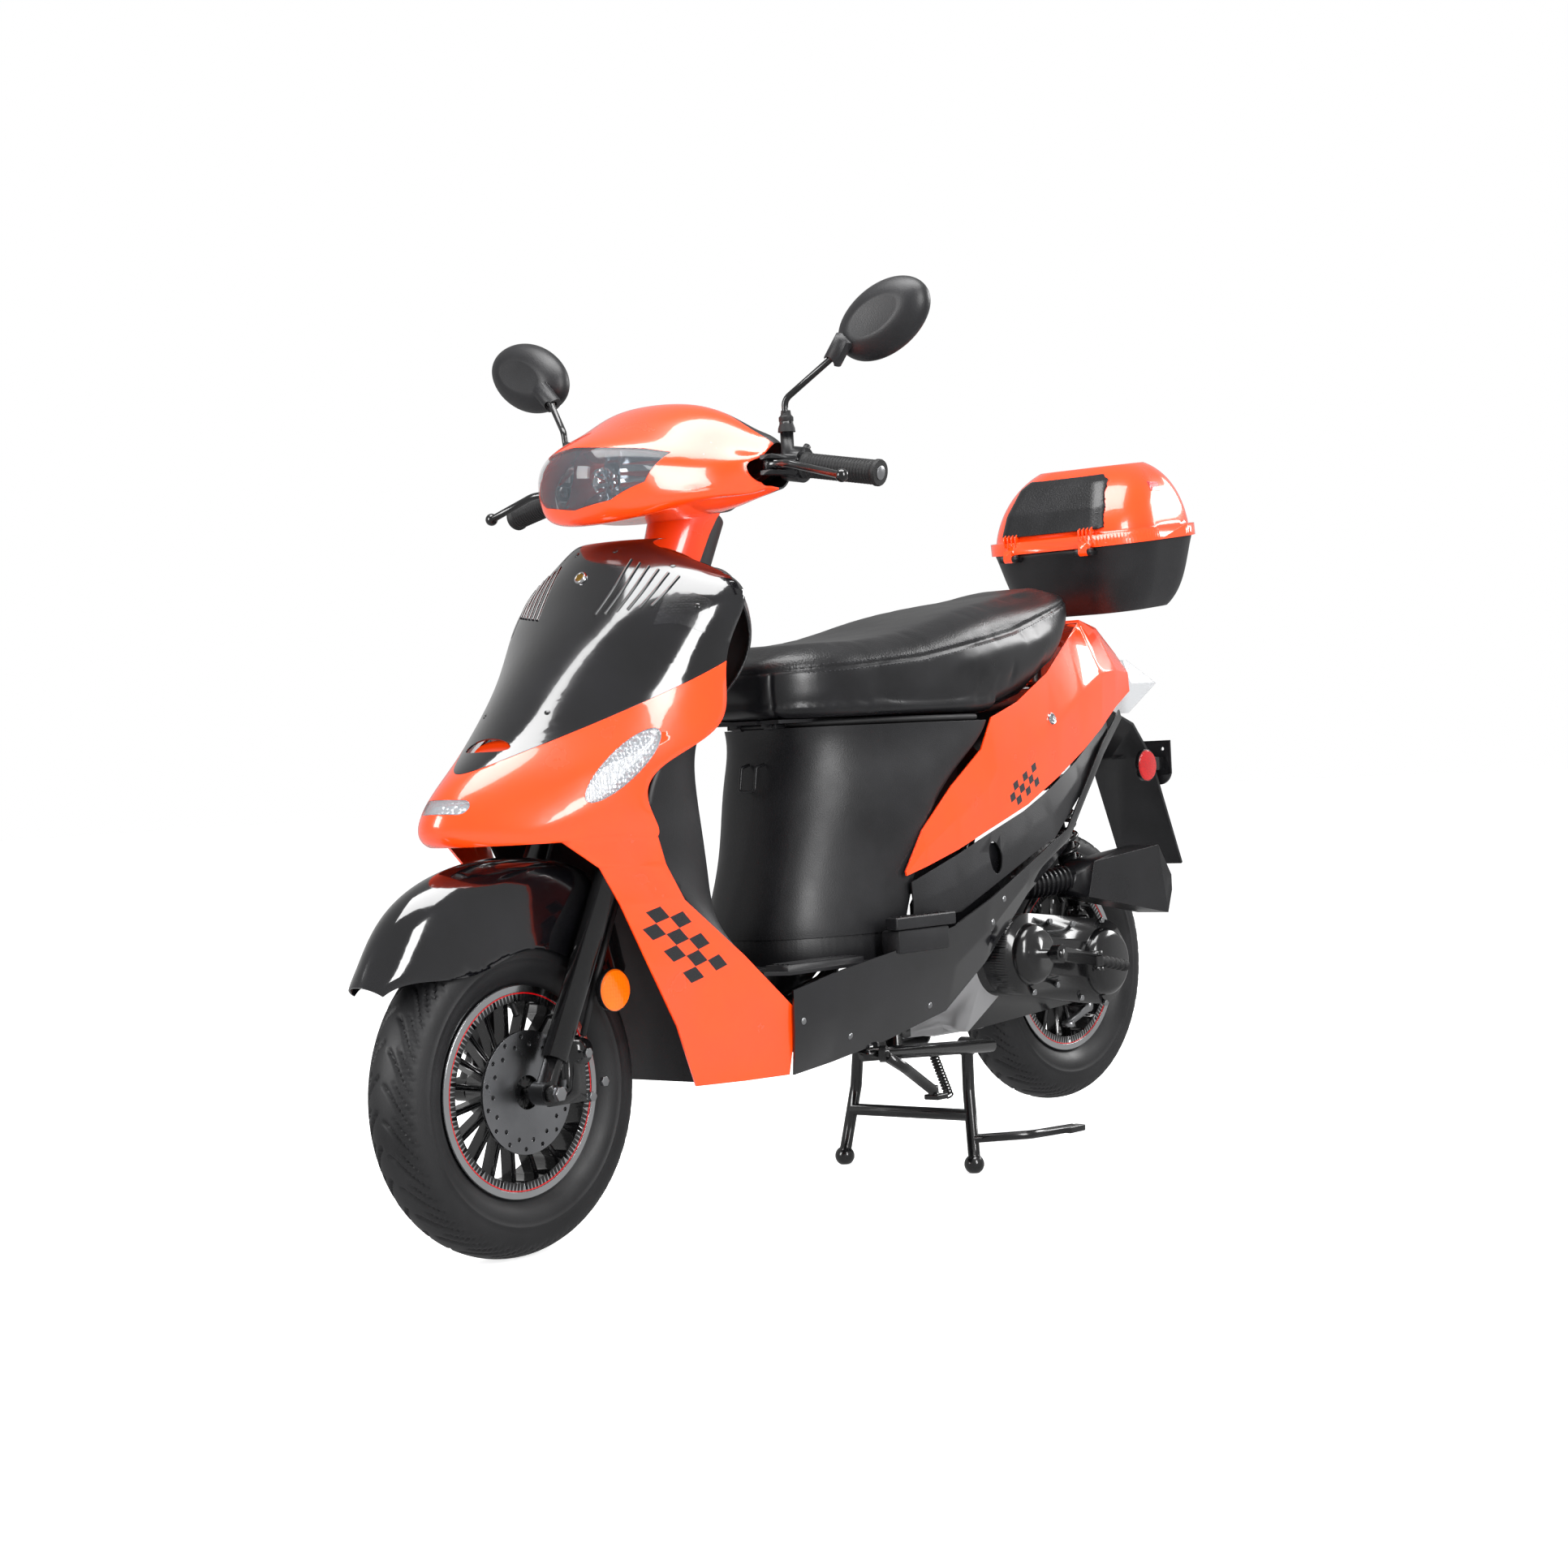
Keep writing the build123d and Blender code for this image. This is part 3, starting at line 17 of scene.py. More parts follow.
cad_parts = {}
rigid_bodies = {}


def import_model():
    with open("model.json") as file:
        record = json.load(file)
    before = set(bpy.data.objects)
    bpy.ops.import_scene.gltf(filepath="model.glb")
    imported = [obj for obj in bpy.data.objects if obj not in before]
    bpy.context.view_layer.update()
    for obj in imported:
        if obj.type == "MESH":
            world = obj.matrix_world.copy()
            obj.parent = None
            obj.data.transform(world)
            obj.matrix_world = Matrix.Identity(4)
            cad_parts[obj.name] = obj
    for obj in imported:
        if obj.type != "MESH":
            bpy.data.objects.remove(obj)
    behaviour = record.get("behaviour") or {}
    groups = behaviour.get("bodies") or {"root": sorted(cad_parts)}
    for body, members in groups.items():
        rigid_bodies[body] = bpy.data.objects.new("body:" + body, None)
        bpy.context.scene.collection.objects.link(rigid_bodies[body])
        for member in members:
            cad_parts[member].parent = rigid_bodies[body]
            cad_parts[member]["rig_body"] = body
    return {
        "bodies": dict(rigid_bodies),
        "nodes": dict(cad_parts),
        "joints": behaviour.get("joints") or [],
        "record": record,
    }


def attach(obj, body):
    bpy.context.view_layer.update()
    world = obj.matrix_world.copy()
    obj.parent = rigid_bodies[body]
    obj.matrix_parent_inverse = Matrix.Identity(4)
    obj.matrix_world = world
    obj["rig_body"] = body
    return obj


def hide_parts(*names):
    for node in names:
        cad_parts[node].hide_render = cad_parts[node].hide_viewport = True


LOG = logging.getLogger("scooter")
MM = 0.001

Point = tuple[float, float, float]
Chooser = Callable[[Vector, int], int]
Socket = bpy.types.NodeSocket


# ---- small helpers --------------------------------------------------------------------------------
def linear(colour: str) -> tuple[float, float, float, float]:
    """Turn an sRGB hex colour into linear light.

    Args:
        colour: Six hex digits after a hash.

    Returns:
        Red, green, blue and a full alpha.
    """
    values = [int(colour[i : i + 2], 16) / 255 for i in (1, 3, 5)]
    red, green, blue = [v / 12.92 if v <= 0.04045 else ((v + 0.055) / 1.055) ** 2.4 for v in values]
    return (red, green, blue, 1.0)


def add_node(tree: bpy.types.NodeTree, kind: str, inputs: Optional[Mapping[Any, Any]] = None,
             **settings: Any) -> bpy.types.Node:
    """Add one node with its settings, values and links.

    Args:
        tree: The material's node tree.
        kind: The node's type name.
        inputs: Input name or number to a value, or to the output socket that feeds it.
        **settings: Properties of the node itself.

    Returns:
        The new node.
    """
    node = tree.nodes.new(kind)
    for name, value in settings.items():
        setattr(node, name, value)
    for key, value in (inputs or {}).items():
        if isinstance(value, Socket):
            tree.links.new(value, node.inputs[key])
        else:
            node.inputs[key].default_value = value
    return node


def unit(x: float, y: float, z: float) -> Vector:
    """Return the direction of a vector given by its parts."""
    return Vector((x, y, z)).normalized()


def mm(x: float, y: float, z: float) -> Vector:
    """Return a point given in millimetres as metres."""
    return Vector((x, y, z)) * MM


# ---- finishes ---------------------------------------------------------------------------------------
class Texture(Enum):
    """How a surface was made, which decides its fine relief."""

    POLISHED = "polished"
    MOULDED = "moulded"
    GRAINED = "grained"
    LEATHER = "leather"
    CAST = "cast"
    BRUSHED = "brushed"
    RUBBER = "rubber"
    FACETED = "faceted"
    FLUTED = "fluted"
    WEAVE = "weave"


@dataclass(frozen=True)
class Checker:
    """A stuck-on strip of checks, three wide and six long, lying in the side plane.

    Attributes:
        start: (Y, Z) of the first check's middle, in metres.
        along: Step from one check to the next along the strip, as (Y, Z) in metres.
        over: Step across the strip, as (Y, Z) in metres.
    """

    start: tuple[float, float]
    along: tuple[float, float]
    over: tuple[float, float]

    def mask(self, tree: bpy.types.NodeTree, place: Socket) -> Socket:
        """Build the strip's mask.

        Args:
            tree: The material's node tree.
            place: The object coordinate.

        Returns:
            A socket that is 1 on a black check and 0 elsewhere.
        """
        det = self.along[0] * self.over[1] - self.along[1] * self.over[0]
        rows = ((self.over[1] / det, -self.over[0] / det), (-self.along[1] / det, self.along[0] / det))
        cells = []
        for row in rows:
            dot = add_node(tree, "ShaderNodeVectorMath", {0: place, 1: (0.0, row[0], row[1])},
                           operation="DOT_PRODUCT")
            shift = 0.5 - row[0] * self.start[0] - row[1] * self.start[1]
            moved = add_node(tree, "ShaderNodeMath", {0: dot.outputs["Value"], 1: shift}, operation="ADD")
            cells.append(add_node(tree, "ShaderNodeMath", {0: moved.outputs[0]}, operation="FLOOR").outputs[0])
        total = add_node(tree, "ShaderNodeMath", {0: cells[0], 1: cells[1]}, operation="ADD")
        parity = add_node(tree, "ShaderNodeMath", {0: total.outputs[0], 1: 2.0}, operation="FLOORED_MODULO")
        black = add_node(tree, "ShaderNodeMath", {0: parity.outputs[0], 1: 0.5}, operation="LESS_THAN")
        length = add_node(tree, "ShaderNodeMath", {0: cells[0], 1: 2.5, 2: 2.9}, operation="COMPARE")
        width = add_node(tree, "ShaderNodeMath", {0: cells[1], 1: 0.0, 2: 1.4}, operation="COMPARE")
        strip = add_node(tree, "ShaderNodeMath", {0: length.outputs[0], 1: width.outputs[0]},
                         operation="MULTIPLY")
        return add_node(tree, "ShaderNodeMath", {0: strip.outputs[0], 1: black.outputs[0]},
                        operation="MULTIPLY").outputs[0]


@dataclass(frozen=True)
class Finish:
    """One real surface finish.

    Attributes:
        name: The material's name.
        slot: The record's material slot; not used.
        colour: sRGB hex colour.
        second: sRGB hex colour of the patches, dust or wear mixed in.
        share: How much of the second colour shows.
        roughness: Mean roughness.
        spread: How far the roughness varies.
        metallic: 1 for a bare metal.
        coat: Weight of a clear top coat.
        alpha: Opacity.
        texture: The relief.
        grain: Size of the relief, in metres.
        depth: Height of the relief, in metres.
        edge: Radius that catches the light on an edge, in metres.
        checker: A strip of checks on it.
    """

    name: str
    slot: str
    colour: str
    second: str = "#000000"
    share: float = 0.0
    roughness: float = 0.4
    spread: float = 0.05
    metallic: float = 0.0
    coat: float = 0.0
    alpha: float = 1.0
    texture: Texture = Texture.MOULDED
    grain: float = 0.002
    depth: float = 0.0001
    edge: float = 0.0008
    checker: Optional[Checker] = None

    def relief(self, tree: bpy.types.NodeTree, place: Socket) -> Socket:
        """Build the height of the surface's relief.

        Args:
            tree: The material's node tree.
            place: The object coordinate.

        Returns:
            A height from 0 to 1.
        """
        scale = 1.0 / self.grain
        if self.texture in (Texture.LEATHER, Texture.GRAINED):
            cells = add_node(tree, "ShaderNodeTexVoronoi", {"Vector": place, "Scale": scale},
                             feature="SMOOTH_F1")
            return cells.outputs["Distance"]
        if self.texture is Texture.FACETED:
            cells = add_node(tree, "ShaderNodeTexVoronoi",
                             {"Vector": place, "Scale": scale, "Randomness": 0.25}, feature="F1")
            return cells.outputs["Distance"]
        if self.texture is Texture.FLUTED:
            flutes = add_node(tree, "ShaderNodeTexWave", {"Vector": place, "Scale": scale / 20.0},
                              bands_direction="X")
            return flutes.outputs["Fac"]
        if self.texture is Texture.BRUSHED:
            stretched = add_node(tree, "ShaderNodeMapping", {"Vector": place, "Scale": (scale, scale, scale * 0.06)})
            return add_node(tree, "ShaderNodeTexNoise", {"Vector": stretched.outputs[0], "Scale": 1.0,
                                                         "Detail": 3.0}).outputs["Fac"]
        if self.texture is Texture.WEAVE:
            turned = add_node(tree, "ShaderNodeMapping", {"Vector": place, "Rotation": (0.0, 0.0, 0.785),
                                                          "Scale": (scale, scale, scale)})
            return add_node(tree, "ShaderNodeTexChecker", {"Vector": turned.outputs[0], "Scale": 1.0}
                            ).outputs["Fac"]
        detail = 6.0 if self.texture is Texture.CAST else 2.0
        return add_node(tree, "ShaderNodeTexNoise", {"Vector": place, "Scale": scale, "Detail": detail}
                        ).outputs["Fac"]

    def material(self) -> bpy.types.Material:
        """Return this finish's material, building it the first time.

        Returns:
            The node-based material.
        """
        made = bpy.data.materials.get(self.name)
        if made is not None:
            return made
        made = bpy.data.materials.new(self.name)
        made.use_nodes = True
        tree = made.node_tree
        tree.nodes.clear()
        out = add_node(tree, "ShaderNodeOutputMaterial")
        shader = add_node(tree, "ShaderNodeBsdfPrincipled")
        tree.links.new(shader.outputs[0], out.inputs["Surface"])
        place = add_node(tree, "ShaderNodeTexCoord").outputs["Object"]
        patches = add_node(tree, "ShaderNodeTexNoise", {"Vector": place, "Scale": 14.0, "Detail": 5.0})
        shown = add_node(tree, "ShaderNodeMapRange", {"Value": patches.outputs["Fac"], "From Min": 0.35,
                                                      "From Max": 0.75, "To Min": 0.0, "To Max": self.share})
        colour = add_node(tree, "ShaderNodeMix", {"Factor": shown.outputs[0], "A": linear(self.colour),
                                                  "B": linear(self.second)}, data_type="RGBA").outputs["Result"]
        if self.checker is not None:
            colour = add_node(tree, "ShaderNodeMix", {"Factor": self.checker.mask(tree, place), "A": colour,
                                                      "B": linear("#17171A")}, data_type="RGBA").outputs["Result"]
        tree.links.new(colour, shader.inputs["Base Color"])
        rough = add_node(tree, "ShaderNodeMapRange", {
            "Value": patches.outputs["Fac"], "From Min": 0.3, "From Max": 0.7,
            "To Min": max(self.roughness - self.spread, 0.02), "To Max": self.roughness + self.spread})
        tree.links.new(rough.outputs[0], shader.inputs["Roughness"])
        soft = add_node(tree, "ShaderNodeBevel", {"Radius": self.edge}, samples=4)
        bump = add_node(tree, "ShaderNodeBump", {"Strength": 1.0, "Distance": self.depth,
                                                 "Height": self.relief(tree, place),
                                                 "Normal": soft.outputs[0]})
        tree.links.new(bump.outputs[0], shader.inputs["Normal"])
        shader.inputs["Metallic"].default_value = self.metallic
        shader.inputs["Coat Weight"].default_value = self.coat
        shader.inputs["Coat Roughness"].default_value = 0.04
        shader.inputs["Alpha"].default_value = self.alpha
        made.diffuse_color = linear(self.colour)
        return made


# Dyed-through ABS with a clear lacquer: deep colour, sharp reflections and a faint orange peel.
ORANGE = Finish("lacquered_orange_abs", "orange_plastic", "#FF4408", "#F23A06", 0.5, 0.24, 0.04, coat=0.9,
                grain=0.006, depth=0.00003)
ORANGE_SHIELD = Finish("lacquered_orange_abs_shield", "orange_plastic", "#FF4408", "#F23A06", 0.5, 0.24, 0.04,
                       coat=0.9, grain=0.006, depth=0.00003,
                       checker=Checker((-0.501, 0.434), (0.017, -0.0155), (0.021, 0.0065)))
ORANGE_PANEL = Finish("lacquered_orange_abs_panel", "orange_plastic", "#FF4408", "#F23A06", 0.5, 0.24, 0.04,
                      coat=0.9, grain=0.006, depth=0.00003,
                      checker=Checker((0.305, 0.554), (0.01425, 0.00625), (0.0038, -0.0112)))
# Black ABS, lacquered: almost a mirror.
GLOSS_BLACK = Finish("lacquered_black_abs", "black_gloss_plastic", "#08080A", "#141418", 0.5, 0.12, 0.03,
                     coat=1.0, grain=0.007, depth=0.00003)
CARBON = Finish("carbon_look_film", "black_gloss_plastic", "#0B0B0D", "#1E1E22", 0.6, 0.2, 0.04, coat=1.0,
                texture=Texture.WEAVE, grain=0.0035, depth=0.00002)
# Polypropylene from a spark-eroded mould: a fine leathery grain that breaks up the light.
GRAINED_BLACK = Finish("grained_black_polypropylene", "black_grained_plastic", "#131315", "#1D1D20", 0.6, 0.42,
                       0.06, texture=Texture.GRAINED, grain=0.0016, depth=0.00012)
SATIN_BLACK = Finish("satin_black_abs", "black_grained_plastic", "#0E0E10", "#18181B", 0.5, 0.3, 0.05,
                     texture=Texture.GRAINED, grain=0.001, depth=0.00004)
# Powder-coated steel tube.
BLACK_STEEL = Finish("powder_coated_steel", "black_steel", "#0A0A0B", "#161618", 0.4, 0.22, 0.05, coat=0.5,
                     grain=0.003, depth=0.00006)
ZINC = Finish("zinc_plated_steel", "bare_steel", "#B9BABC", "#8C8D90", 0.6, 0.28, 0.08, metallic=1.0,
              texture=Texture.BRUSHED, grain=0.001, depth=0.00003)
DISC_STEEL = Finish("ground_disc_steel", "bare_steel", "#A2A3A6", "#77787B", 0.6, 0.24, 0.07, metallic=1.0,
                    texture=Texture.BRUSHED, grain=0.0012, depth=0.00003)
CHROME = Finish("chromed_steel", "bare_steel", "#D9DADC", "#B8B9BC", 0.3, 0.08, 0.02, metallic=1.0,
                texture=Texture.POLISHED, grain=0.01, depth=0.00001)
# Gravity-cast aluminium, not machined: dull with pits.
CAST_ALUMINIUM = Finish("cast_aluminium", "cast_aluminium", "#7C7E82", "#505256", 0.7, 0.5, 0.1, metallic=1.0,
                        texture=Texture.CAST, grain=0.002, depth=0.0002)
POLISHED_LIP = Finish("turned_aluminium_lip", "cast_aluminium", "#D2D3D5", "#A9ABAE", 0.3, 0.14, 0.04,
                      metallic=1.0, texture=Texture.BRUSHED, grain=0.0008, depth=0.00002)
BLACK_ALUMINIUM = Finish("black_painted_aluminium", "black_aluminium", "#0A0A0B", "#161618", 0.4, 0.2, 0.05,
                         coat=0.6, texture=Texture.CAST, grain=0.002, depth=0.00008)
RUBBER = Finish("moulded_rubber", "rubber", "#101011", "#1C1C1E", 0.6, 0.6, 0.08, texture=Texture.RUBBER,
                grain=0.0015, depth=0.00012)
TYRE_RUBBER = Finish("tyre_rubber", "tyre", "#0F0F11", "#1E1E20", 0.6, 0.5, 0.1, texture=Texture.RUBBER,
                     grain=0.002, depth=0.00012)
VINYL = Finish("embossed_seat_vinyl", "vinyl", "#0C0C0E", "#161619", 0.5, 0.36, 0.05, texture=Texture.LEATHER,
               grain=0.0026, depth=0.0003, edge=0.002)
SMOOTH_VINYL = Finish("smooth_seat_vinyl", "vinyl", "#0D0D0F", "#17171A", 0.5, 0.3, 0.04,
                      texture=Texture.LEATHER, grain=0.0012, depth=0.00006, edge=0.002)
THREAD = Finish("polyester_thread", "vinyl", "#2A2A2E", "#3A3A3E", 0.5, 0.7, 0.05, texture=Texture.RUBBER,
                grain=0.0008, depth=0.0001)
LENS = Finish("clear_acrylic_lens", "clear_lens", "#B9BDC2", "#A4A8AE", 0.4, 0.05, 0.02, coat=1.0, alpha=0.32,
              texture=Texture.FACETED, grain=0.0055, depth=0.0008)
CLEAR = Finish("clear_polycarbonate", "clear_lens", "#6F757C", "#5F656C", 0.3, 0.04, 0.01, coat=1.0, alpha=0.22,
               texture=Texture.POLISHED, grain=0.02, depth=0.00002)
REFLECTOR = Finish("metallised_reflector", "bare_steel", "#C4C7CB", "#8E9297", 0.5, 0.12, 0.05, metallic=1.0,
                   texture=Texture.FACETED, grain=0.0065, depth=0.002)
BOWL = Finish("metallised_bowl", "bare_steel", "#A9ADB2", "#6E7277", 0.5, 0.1, 0.04, metallic=1.0,
              texture=Texture.FLUTED, grain=0.010, depth=0.0016)
RED_LENS = Finish("red_acrylic_lens", "red_lens", "#B4060C", "#7C0308", 0.5, 0.08, 0.03, coat=1.0,
                  texture=Texture.FACETED, grain=0.004, depth=0.0006)
AMBER_LENS = Finish("amber_acrylic_lens", "red_lens", "#F26A08", "#C94C04", 0.5, 0.08, 0.03, coat=1.0,
                    texture=Texture.FACETED, grain=0.005, depth=0.0007)
MIRROR_GLASS = Finish("silvered_glass", "bare_steel", "#E9EBEE", "#DADDE1", 0.2, 0.03, 0.01, metallic=1.0,
                      texture=Texture.POLISHED, grain=0.05, depth=0.000005)
BRASS = Finish("zinc_yellow_passivated", "bare_steel", "#B08A3C", "#7F6428", 0.5, 0.3, 0.08, metallic=1.0,
               texture=Texture.BRUSHED, grain=0.001, depth=0.00003)


# ---- building pieces ---------------------------------------------------------------------------------
def islands(mesh: bmesh.types.BMesh) -> dict[int, int]:
    """Number the loose pieces of a mesh.

    Args:
        mesh: The mesh, with its doubles merged.

    Returns:
        Face index to the number of its loose piece.
    """
    mesh.faces.index_update()
    found: dict[int, int] = {}
    count = 0
    for face in mesh.faces:
        if face.index in found:
            continue
        stack = [face]
        found[face.index] = count
        while stack:
            here = stack.pop()
            for edge in here.edges:
                for other in edge.link_faces:
                    if other.index not in found:
                        found[other.index] = count
                        stack.append(other)
        count += 1
    return found


def finish_piece(mesh: bmesh.types.BMesh, name: str, body: str, finishes: Sequence[Finish],
                 angle: float = 32.0) -> bpy.types.Object:
    """Turn a bmesh into a shown piece that rides on a body.

    Args:
        mesh: The mesh, freed afterwards.
        name: The piece's name.
        body: The CAD body it rides on.
        finishes: Its finishes, in material order.
        angle: Edges sharper than this many degrees stay sharp.

    Returns:
        The new object.
    """
    data = bpy.data.meshes.new(name)
    mesh.to_mesh(data)
    mesh.free()
    data.shade_smooth()
    data.set_sharp_from_angle(angle=math.radians(angle))
    piece = bpy.data.objects.new(name, data)
    bpy.context.scene.collection.objects.link(piece)
    for finish in finishes:
        data.materials.append(finish.material())
    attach(piece, body)
    LOG.info("%s: %d faces on %s", name, len(data.polygons), body)
    return piece


@dataclass
class Kit:
    """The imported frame, with what every sub-assembly needs from it."""

    frame: dict[str, Any]

    def body(self, node: str) -> str:
        """Return the body that a CAD node belongs to."""
        return str(self.frame["nodes"][node]["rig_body"])

    def merged(self, node: str) -> bmesh.types.BMesh:
        """Return a CAD node's mesh as a new bmesh with its doubles merged."""
        mesh = bmesh.new()
        mesh.from_mesh(self.frame["nodes"][node].data)
        bmesh.ops.remove_doubles(mesh, verts=mesh.verts[:], dist=0.00002)
        return mesh

    def dress(self, node: str, finishes: Sequence[Finish], choose: Optional[Chooser] = None,
              angle: float = 32.0, drop: Optional[Callable[[Vector, int], bool]] = None) -> bpy.types.Object:
        """Replace a CAD node by a smooth-shaded copy with real finishes.

        Args:
            node: The CAD node.
            finishes: Its finishes.
            choose: Gives the finish's number from a face's middle and the number of its loose piece.
            angle: Edges sharper than this many degrees stay sharp.
            drop: Says which faces are left out, for a detailed piece to stand there.

        Returns:
            The new piece.
        """
        mesh = self.merged(node)
        numbers = islands(mesh)
        gone = []
        for face in mesh.faces:
            middle = face.calc_center_median()
            if choose is not None:
                face.material_index = choose(middle, numbers[face.index])
            if drop is not None and drop(middle, numbers[face.index]):
                gone.append(face)
        if gone:
            bmesh.ops.delete(mesh, geom=gone, context="FACES")
        piece = finish_piece(mesh, "dressed_" + node, self.body(node), finishes, angle)
        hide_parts(node)
        return piece


def frame_of(direction: Vector) -> Matrix:
    """Return a rotation that turns +Z to a direction.

    Args:
        direction: The new direction of +Z.

    Returns:
        A 4x4 rotation.
    """
    return direction.to_track_quat("Z", "Y").to_matrix().to_4x4()


def turned(profile: Sequence[tuple[float, float]], at: Vector, direction: Vector,
           steps: int = 48) -> bmesh.types.BMesh:
    """Spin a profile about an axis.

    Args:
        profile: (radius, height) pairs in metres, from the axis out and back to it.
        at: Where height 0 lies.
        direction: The axis.
        steps: Steps in the full turn.

    Returns:
        A closed mesh in place.
    """
    mesh = bmesh.new()
    points = [mesh.verts.new((r, 0.0, h)) for r, h in profile]
    edges = [mesh.edges.new(pair) for pair in zip(points, points[1:])]
    bmesh.ops.spin(mesh, geom=[*points, *edges], cent=(0, 0, 0), axis=(0, 0, 1), angle=math.tau, steps=steps,
                   use_merge=True)
    bmesh.ops.remove_doubles(mesh, verts=mesh.verts[:], dist=0.00001)
    bmesh.ops.recalc_face_normals(mesh, faces=mesh.faces[:])
    bmesh.ops.transform(mesh, matrix=Matrix.Translation(at) @ frame_of(direction), verts=mesh.verts[:])
    return mesh


def joined(meshes: Iterable[bmesh.types.BMesh]) -> bmesh.types.BMesh:
    """Join several meshes into one and free them.

    Args:
        meshes: The meshes.

    Returns:
        One mesh.
    """
    whole = bmesh.new()
    for part in meshes:
        data = bpy.data.meshes.new("part")
        part.to_mesh(data)
        part.free()
        whole.from_mesh(data)
        bpy.data.meshes.remove(data)
    return whole


def prism(outline: Sequence[tuple[float, float]], depth: float, bevel: float, at: Matrix) -> bmesh.types.BMesh:
    """Extrude an outline and round its edges.

    Args:
        outline: (x, y) corners in metres, anticlockwise.
        depth: Height of the extrusion along +Z.
        bevel: Radius of the rounded edges.
        at: Where the piece goes.

    Returns:
        A closed mesh in place.
    """
    mesh = bmesh.new()
    face = mesh.faces.new([mesh.verts.new((x, y, 0.0)) for x, y in outline])
    top = bmesh.ops.extrude_face_region(mesh, geom=[face])
    bmesh.ops.translate(mesh, verts=[v for v in top["geom"] if isinstance(v, bmesh.types.BMVert)],
                        vec=(0, 0, depth))
    bmesh.ops.recalc_face_normals(mesh, faces=mesh.faces[:])
    if bevel:
        bmesh.ops.bevel(mesh, geom=mesh.edges[:], offset=bevel, segments=2, profile=0.5, affect="EDGES",
                        material=-1, clamp_overlap=True)
    bmesh.ops.transform(mesh, matrix=at, verts=mesh.verts[:])
    return mesh


def screw(at: Vector, direction: Vector, radius: float = 0.004, height: float = 0.0025) -> bmesh.types.BMesh:
    """Make a domed screw head standing on a surface."""
    profile = [(0.0, height), (radius * 0.45, height * 0.95), (radius * 0.8, height * 0.7), (radius, 0.0),
               (0.0, -0.001)]
    return turned(profile, at, direction, 20)


def hexagon(at: Vector, direction: Vector, flats: float, height: float) -> bmesh.types.BMesh:
    """Make a chamfered hexagon bolt head standing on a surface."""
    ring = [(flats / math.sqrt(3) * math.cos(math.tau * i / 6), flats / math.sqrt(3) * math.sin(math.tau * i / 6))
            for i in range(6)]
    return prism(ring, height, 0.0004, Matrix.Translation(at) @ frame_of(direction))


def tube(points: Sequence[Vector], radius: float, name: str) -> bmesh.types.BMesh:
    """Sweep a round wire along a smooth line.

    Args:
        points: The line's control points.
        radius: Radius of the wire.
        name: A name for the temporary curve.

    Returns:
        A closed mesh.
    """
    curve = bpy.data.curves.new(name, "CURVE")
    curve.dimensions = "3D"
    spline = curve.splines.new("NURBS")
    spline.points.add(len(points) - 1)
    for target, point in zip(spline.points, points):
        target.co = (*point, 1.0)
    spline.order_u = 3
    spline.use_endpoint_u = True
    curve.bevel_depth = radius
    curve.bevel_resolution = 4
    curve.use_fill_caps = True
    holder = bpy.data.objects.new(name, curve)
    bpy.context.scene.collection.objects.link(holder)
    data = bpy.data.meshes.new_from_object(holder.evaluated_get(bpy.context.evaluated_depsgraph_get()))
    mesh = bmesh.new()
    mesh.from_mesh(data)
    bpy.data.objects.remove(holder)
    bpy.data.curves.remove(curve)
    bpy.data.meshes.remove(data)
    bmesh.ops.remove_doubles(mesh, verts=mesh.verts[:], dist=0.00001)
    bmesh.ops.recalc_face_normals(mesh, faces=mesh.faces[:])
    return mesh


